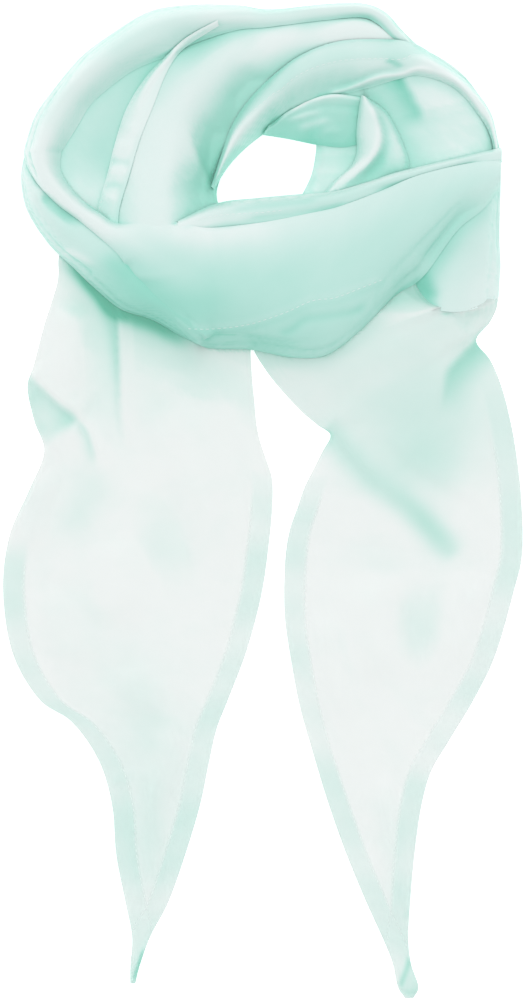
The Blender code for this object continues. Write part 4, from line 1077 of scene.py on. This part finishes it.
rolled_edge = sewn_cloth("rolled_edge_cloth", grid, layered_cloth)
rolled_edge_stitches = stitched("rolled_edge_stitches", rolled_edge, ROLLED_EDGE_SEAM)
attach(rolled_edge, "root")
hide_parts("rolled_edge")


# ------------------------------------------------------------
# The lower roll at the ring's left, which shows below the pleat of the front band. Chiffon that
# comes out from under the outer turn and goes in under the band. Its colour is one to ten layers
# deep, the deepest being painted shade towards the band, and one crease carries a painted highlight.
UNDER_TURN = [
    Section(-140.5, 213, -139, 213, -137, 213, 4, 1, 1.5, 1.5),
    Section(-143.8, 203, -140, 204, -132, 205, 13, 1, 1.5, 1.5),
    Section(-144.7, 191, -137, 193, -123, 196, 24, 1.2, 2, 1.5),
    Section(-141, 174, -131, 178, -112, 183, 29.5, 1.6, 2.6, 1.5),
    Section(-128, 154, -115, 162, -95, 171, 31, 2.4, 3.6, 4),
    Section(-113, 139.5, -99, 149, -80, 158, 32, 3, 4.2, 4.5),
    Section(-101, 128, -86, 138, -68, 146, 32.5, 6, 8, 9),
    Section(-85, 115, -72, 125, -56, 136, 33, 8, 10, 10.5),
    Section(-66, 108.5, -55, 116, -40, 127, 32.5, 8.5, 10, 10.5),
    Section(-50, 99.5, -41, 105, -27, 114, 31, 8, 9, 9.5),
    Section(-38, 93.5, -31, 98, -19, 104, 27, 7, 7, 7),
]
UNDER_TURN_CREASES = [
    Crease([(-132, 184), (-125, 177), (-117, 171), (-107, 163)], 5, -2.5, 0, 0.15, 0.35, 0.6),
    Crease([(-130.5, 184), (-128, 177), (-125.5, 168)], 7, -1.2, -1, 0.1, 0.4, 1.0, 1.2),
    Crease([(-121, 151), (-111, 146.5), (-98, 139)], 2.2, 1.5, 0, 0.3, 0.3, -1.8),
    Crease([(-119, 147), (-108, 141), (-98, 135)], 3, -1, 0, 0.3, 0.3, 1),
    Crease([(-96, 148), (-86, 139), (-76, 131)], 4, 0, 0, 0.3, 0.3, 1.2),
]
grid = laid_grid(
    UNDER_TURN,
    (ROLLED, BENT),
    pitch=1.5,
    columns=44,
    creases=UNDER_TURN_CREASES,
    without=("outer_roll",),
)
wall_folds(grid, side=0, depth=1.8)
under_turn = sewn_cloth("under_turn_cloth", grid, layered_cloth)
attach(under_turn, "root")
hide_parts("under_turn")


# ------------------------------------------------------------
# The outer turn, second half: the broad front band, from the left side over both pointed ends to
# the right rim. Chiffon, doubled over, pleated at the left and topstitched along its lower part.
# The whole outer turn is one cloth, made here from the roll's grid and the band's.
# The band's colour deepens across its lower part: the doubled band, with painted shade where it curves
# down away from the light.
FRONT_BAND = [
    OUTER_TURN[-1],  # where the roll ends
    Section(-140.5, 200, -130.5, 199, -120.5, 199, 35, 1, 0.8, 1.4),
    Section(-133.5, 188.5, -124, 188, -115, 188.5, 35, 1, 0.8, 1.2),
    Section(-122, 176.8, -113, 177, -105.5, 178, 35, 1.2, 0.8, 1),
    Section(-109.5, 167.4, -103, 169.5, -97, 172, 35.5, 1.4, 1, 1),
    Section(-97.5, 157.5, -91, 162, -86, 166.2, 36.5, 1.8, 1.2, 1),
    Section(-86, 147, -76, 155, -69, 168, 37.5, 4.5, 2.4, 1.8),
    Section(-78.5, 136, -64, 149, -56, 167, 38, 6.5, 3.8, 1.8),
    Section(-68, 123, -51, 141, -45, 165, 38, 7.5, 4.8, 1.8),
    Section(-54, 108, -39, 135, -34, 163, 38.5, 7.5, 5.4, 1.8),
    Section(-36, 92.5, -27, 131, -21, 163.6, 39, 7.5, 5.8, 2),
    Section(-7, 90.5, -2, 129, 3, 166.5, 40, 7, 5.8, 2.2),
    Section(20, 85.5, 22, 131, 26, 171, 40, 7, 5.6, 2.6),
    Section(40, 87.5, 41, 136, 46, 175.5, 39, 6, 5.2, 2.8),
    Section(60, 102.5, 62, 147, 69, 184, 38, 6, 5.2, 3),
    Section(80, 122.5, 82, 160, 90, 193, 36, 6, 5, 3.2),
    Section(97, 134, 101, 172, 109, 198.5, 34.5, 6, 4.8, 3.2),
    Section(117, 161, 121, 186, 128, 202.3, 33.5, 6, 4.4, 3.2),
    Section(132, 173.5, 134, 191, 137, 203, 32.5, 5, 4, 3),
    Section(143, 186, 143.2, 195, 143.6, 203.5, 31.5, 3.5, 3.5, 2.8),
]
FRONT_BAND_RISES = (
    [0.5, 0.5, 0.5, 0.6, 0.7, 0.8, 1, 1.2, 1.2, 1, 0.5, 0.5, 0.5, 0.5, 0.6, 0.9, 1.5, 1.8, 1.8, 1],
    [1.3, 1.2, 1, 0.9, 0.9, 1.1, 1.5, 1.5, 1.5, 1.4, 1.2, 1, 1, 1, 1, 1, 1, 1, 1, 0.8],
)
# Painted shade across the lower part and along the seam's trough, and painted highlights along the seam's
# ridge and just below the rolled edge.
FRONT_BAND_CREASES = [
    Crease([(-82, 136), (-66, 134), (-46, 137)], 2, 0.8, 0, 0.3, 0.5, -0.8),
    Crease([(-80, 132), (-66, 130), (-48, 132)], 3, -0.6, 0, 0.3, 0.5, 0.8),
    Crease([(-90, 124), (-64, 118), (-36, 118), (-8, 122)], 12, 0, 0, 0.2, 0.3, 2),
    Crease(
        [(9.5, 99.5), (18, 102), (26, 108), (36, 109.5), (56, 113), (65, 117)],
        1.8, -1.8, 0, 0.1, 0.2, 2.6,
    ),
    Crease([(-14, 94), (6, 93), (26, 93)], 4, -0.6, 0, 0.3, 0.3, 1),
    Crease(
        [(-48, 103.5), (-30, 103.4), (-8, 106), (14, 113), (30, 120), (44, 122), (60, 128), (76, 134)],
        1.3, 0.5, 0, 0.1, 0.1, -1.6,
    ),
    Crease(
        [(-48, 100.5), (-30, 100.4), (-8, 103), (14, 110), (30, 117), (44, 119), (60, 125), (76, 131)],
        1.5, -0.5, 0, 0.1, 0.1, 1.5,
    ),
    Crease([(-70, 163), (-40, 158), (-10, 160), (20, 165)], 9, 1, 0, 0.3, 0.3, -0.8),
    Crease([(-21, 166), (-8, 167), (5, 168.5)], 2.2, 0.6, 0, 0.2, 0.3, -1.4),
    Crease([(-49, 162), (-37, 165.5), (-24, 167)], 1.2, -0.5, 0, 0.2, 0.3, 0.9),
    Crease([(98, 140), (105, 150), (117, 165), (134, 184)], 11, -2.5, 0, 0.2, 0.3, 0.8),
]
BAND_JOINED = [
    Join([(-94, 171), (-86, 166.2), (-69, 168), (-56, 167), (-42, 164.5)], 5, 1.5),
    Join([(-83, 143), (-78.5, 136), (-68, 123), (-54, 108), (-42, 97)], 7, 1.6),
]
BAND_SEAM = [
    (-44, 102.5), (-30, 102.4), (-8, 105), (14, 112), (30, 119), (44, 121), (60, 127), (74, 132.5),
]
SEAM_POINTS = 120
JOIN_ROWS = 12  # over which the band takes on the roll's height

band_grid = laid_grid(
    FRONT_BAND,
    FRONT_BAND_RISES,
    pitch=OUTER_PITCH,
    columns=OUTER_COLUMNS,
    creases=FRONT_BAND_CREASES,
    without=("outer_roll",),
    joined=BAND_JOINED,
)
step = roll_grid[-1, :, 2] - band_grid[0, :, 2]
for k in range(JOIN_ROWS):
    band_grid[k, :, 2] += step * (1 - swell(k / JOIN_ROWS))
del pile["outer_roll"]
grid = np.concatenate([roll_grid[:-1], band_grid])
wall_folds(grid, side=0, depth=2.2)
outer_turn = sewn_cloth("outer_turn_cloth", grid, layered_cloth)
outer_turn_stitches = stitched(
    "outer_turn_stitches",
    outer_turn,
    smooth_through(BAND_SEAM, np.linspace(0, len(BAND_SEAM) - 1, SEAM_POINTS)),
)
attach(outer_turn, "root")
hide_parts("outer_turn", "front_band")


# ------------------------------------------------------------
# How deep the cloth's colour is. Light reaches the open cloth from all round, and the hollows
# between the turns only through other layers, so their colour is made deeper: painted shade.
SKY_WAYS = 16
SKY_REACHES = (2, 4, 7, 11, 16, 23, 32)
SKY_CLEAR = 0.6  # cloth that stands less than this above a point doesn't block it
LAYER_DEPTH = 0.06  # that each layer, or layer's worth of painted shade, adds
# Painted shade in the hollows between the turns: how much it deepens the colour, and at most.
HOLLOW_PAINTED_SHADE = 0.8
DEEPEST_PAINTED_SHADE = 0.3

whole = np.max(list(pile.values()), axis=0)


def hollow(points):
    """How far each point lies in a hollow, from 0 to 1: blocked by cloth on both opposite sides."""
    x, y, z = points[:, 0], points[:, 1], points[:, 2]
    blocked = []
    for way in range(SKY_WAYS):
        angle = 2 * math.pi * way / SKY_WAYS
        horizon = np.zeros(len(points))
        for reach in SKY_REACHES:
            column = ((x + reach * math.cos(angle) + HALF_WIDTH) / CELL).astype(int)
            row = ((y + reach * math.sin(angle) + HALF_LENGTH) / CELL).astype(int)
            column = np.clip(column, 0, whole.shape[0] - 1)
            row = np.clip(row, 0, whole.shape[1] - 1)
            horizon = np.maximum(horizon, (whole[column, row] - z - SKY_CLEAR) / reach)
        blocked.append(np.sin(np.arctan(horizon)))
    half = SKY_WAYS // 2
    return np.mean([np.sqrt(a * b) for a, b in zip(blocked[:half], blocked[half:])], axis=0)


for piece, points, layers, sides in cloths:
    # Painted shade in the hollows, added to the depth from the layers with their painted shade and light.
    painted_shade = np.minimum(HOLLOW_PAINTED_SHADE * hollow(points.reshape(-1, 3)), DEEPEST_PAINTED_SHADE)
    depth = LAYER_DEPTH * (layers.ravel() - 1) + painted_shade
    attribute = piece.data.attributes.new("depth", "FLOAT", "POINT")
    attribute.data.foreach_set("value", np.tile(np.clip(depth, 0, 1), sides))


# ------------------------------------------------------------
# The floor, the lights and the camera: a white paper floor, soft light from above the ring, and a
# camera straight above.
FLOOR_HALF = 4.0
FLOOR_Z = -0.0005
CAMERA_HEIGHT = 5.0
VIEW_LENGTH = 0.6  # along the scarf, that the picture takes in
VIEW_Z = 0.02  # at this height
SENSOR = 24

floor_mesh = bpy.data.meshes.new("floor")
floor_corners = [(-1, -1), (1, -1), (1, 1), (-1, 1)]
floor_mesh.from_pydata(
    [(FLOOR_HALF * x, FLOOR_HALF * y, FLOOR_Z) for x, y in floor_corners], [], [(0, 1, 2, 3)]
)
floor = bpy.data.objects.new("floor", floor_mesh)
bpy.context.scene.collection.objects.link(floor)
paper = bpy.data.materials.new("white_floor")
paper.use_nodes = True
shader = paper.node_tree.nodes["Principled BSDF"]
shader.inputs["Base Color"].default_value = (0.9, 0.9, 0.9, 1)
shader.inputs["Roughness"].default_value = 1
shader.inputs["Emission Color"].default_value = (1, 1, 1, 1)
shader.inputs["Emission Strength"].default_value = 0.5
floor_mesh.materials.append(paper)

world = bpy.data.worlds.new("soft_light")
bpy.context.scene.world = world
world.use_nodes = True
world.node_tree.nodes["Background"].inputs["Color"].default_value = (1, 1, 1, 1)
world.node_tree.nodes["Background"].inputs["Strength"].default_value = 0.72

key = bpy.data.lights.new("key_light", "SUN")
key.energy = 0.75
key.angle = math.radians(60)
key_lamp = bpy.data.objects.new("key_light", key)
key_lamp.rotation_euler = Vector((0.06, -0.40, -0.92)).to_track_quat("-Z", "Y").to_euler()
bpy.context.scene.collection.objects.link(key_lamp)

camera = bpy.data.cameras.new("camera")
camera.sensor_fit = "VERTICAL"
camera.sensor_height = SENSOR
camera.lens = SENSOR * (CAMERA_HEIGHT - VIEW_Z) / VIEW_LENGTH
viewer = bpy.data.objects.new("camera", camera)
viewer.location = (-MIDDLE_X * MM, -MIDDLE_Y * MM, CAMERA_HEIGHT)
bpy.context.scene.collection.objects.link(viewer)
bpy.context.scene.camera = viewer
bpy.context.scene.view_settings.view_transform = "Standard"
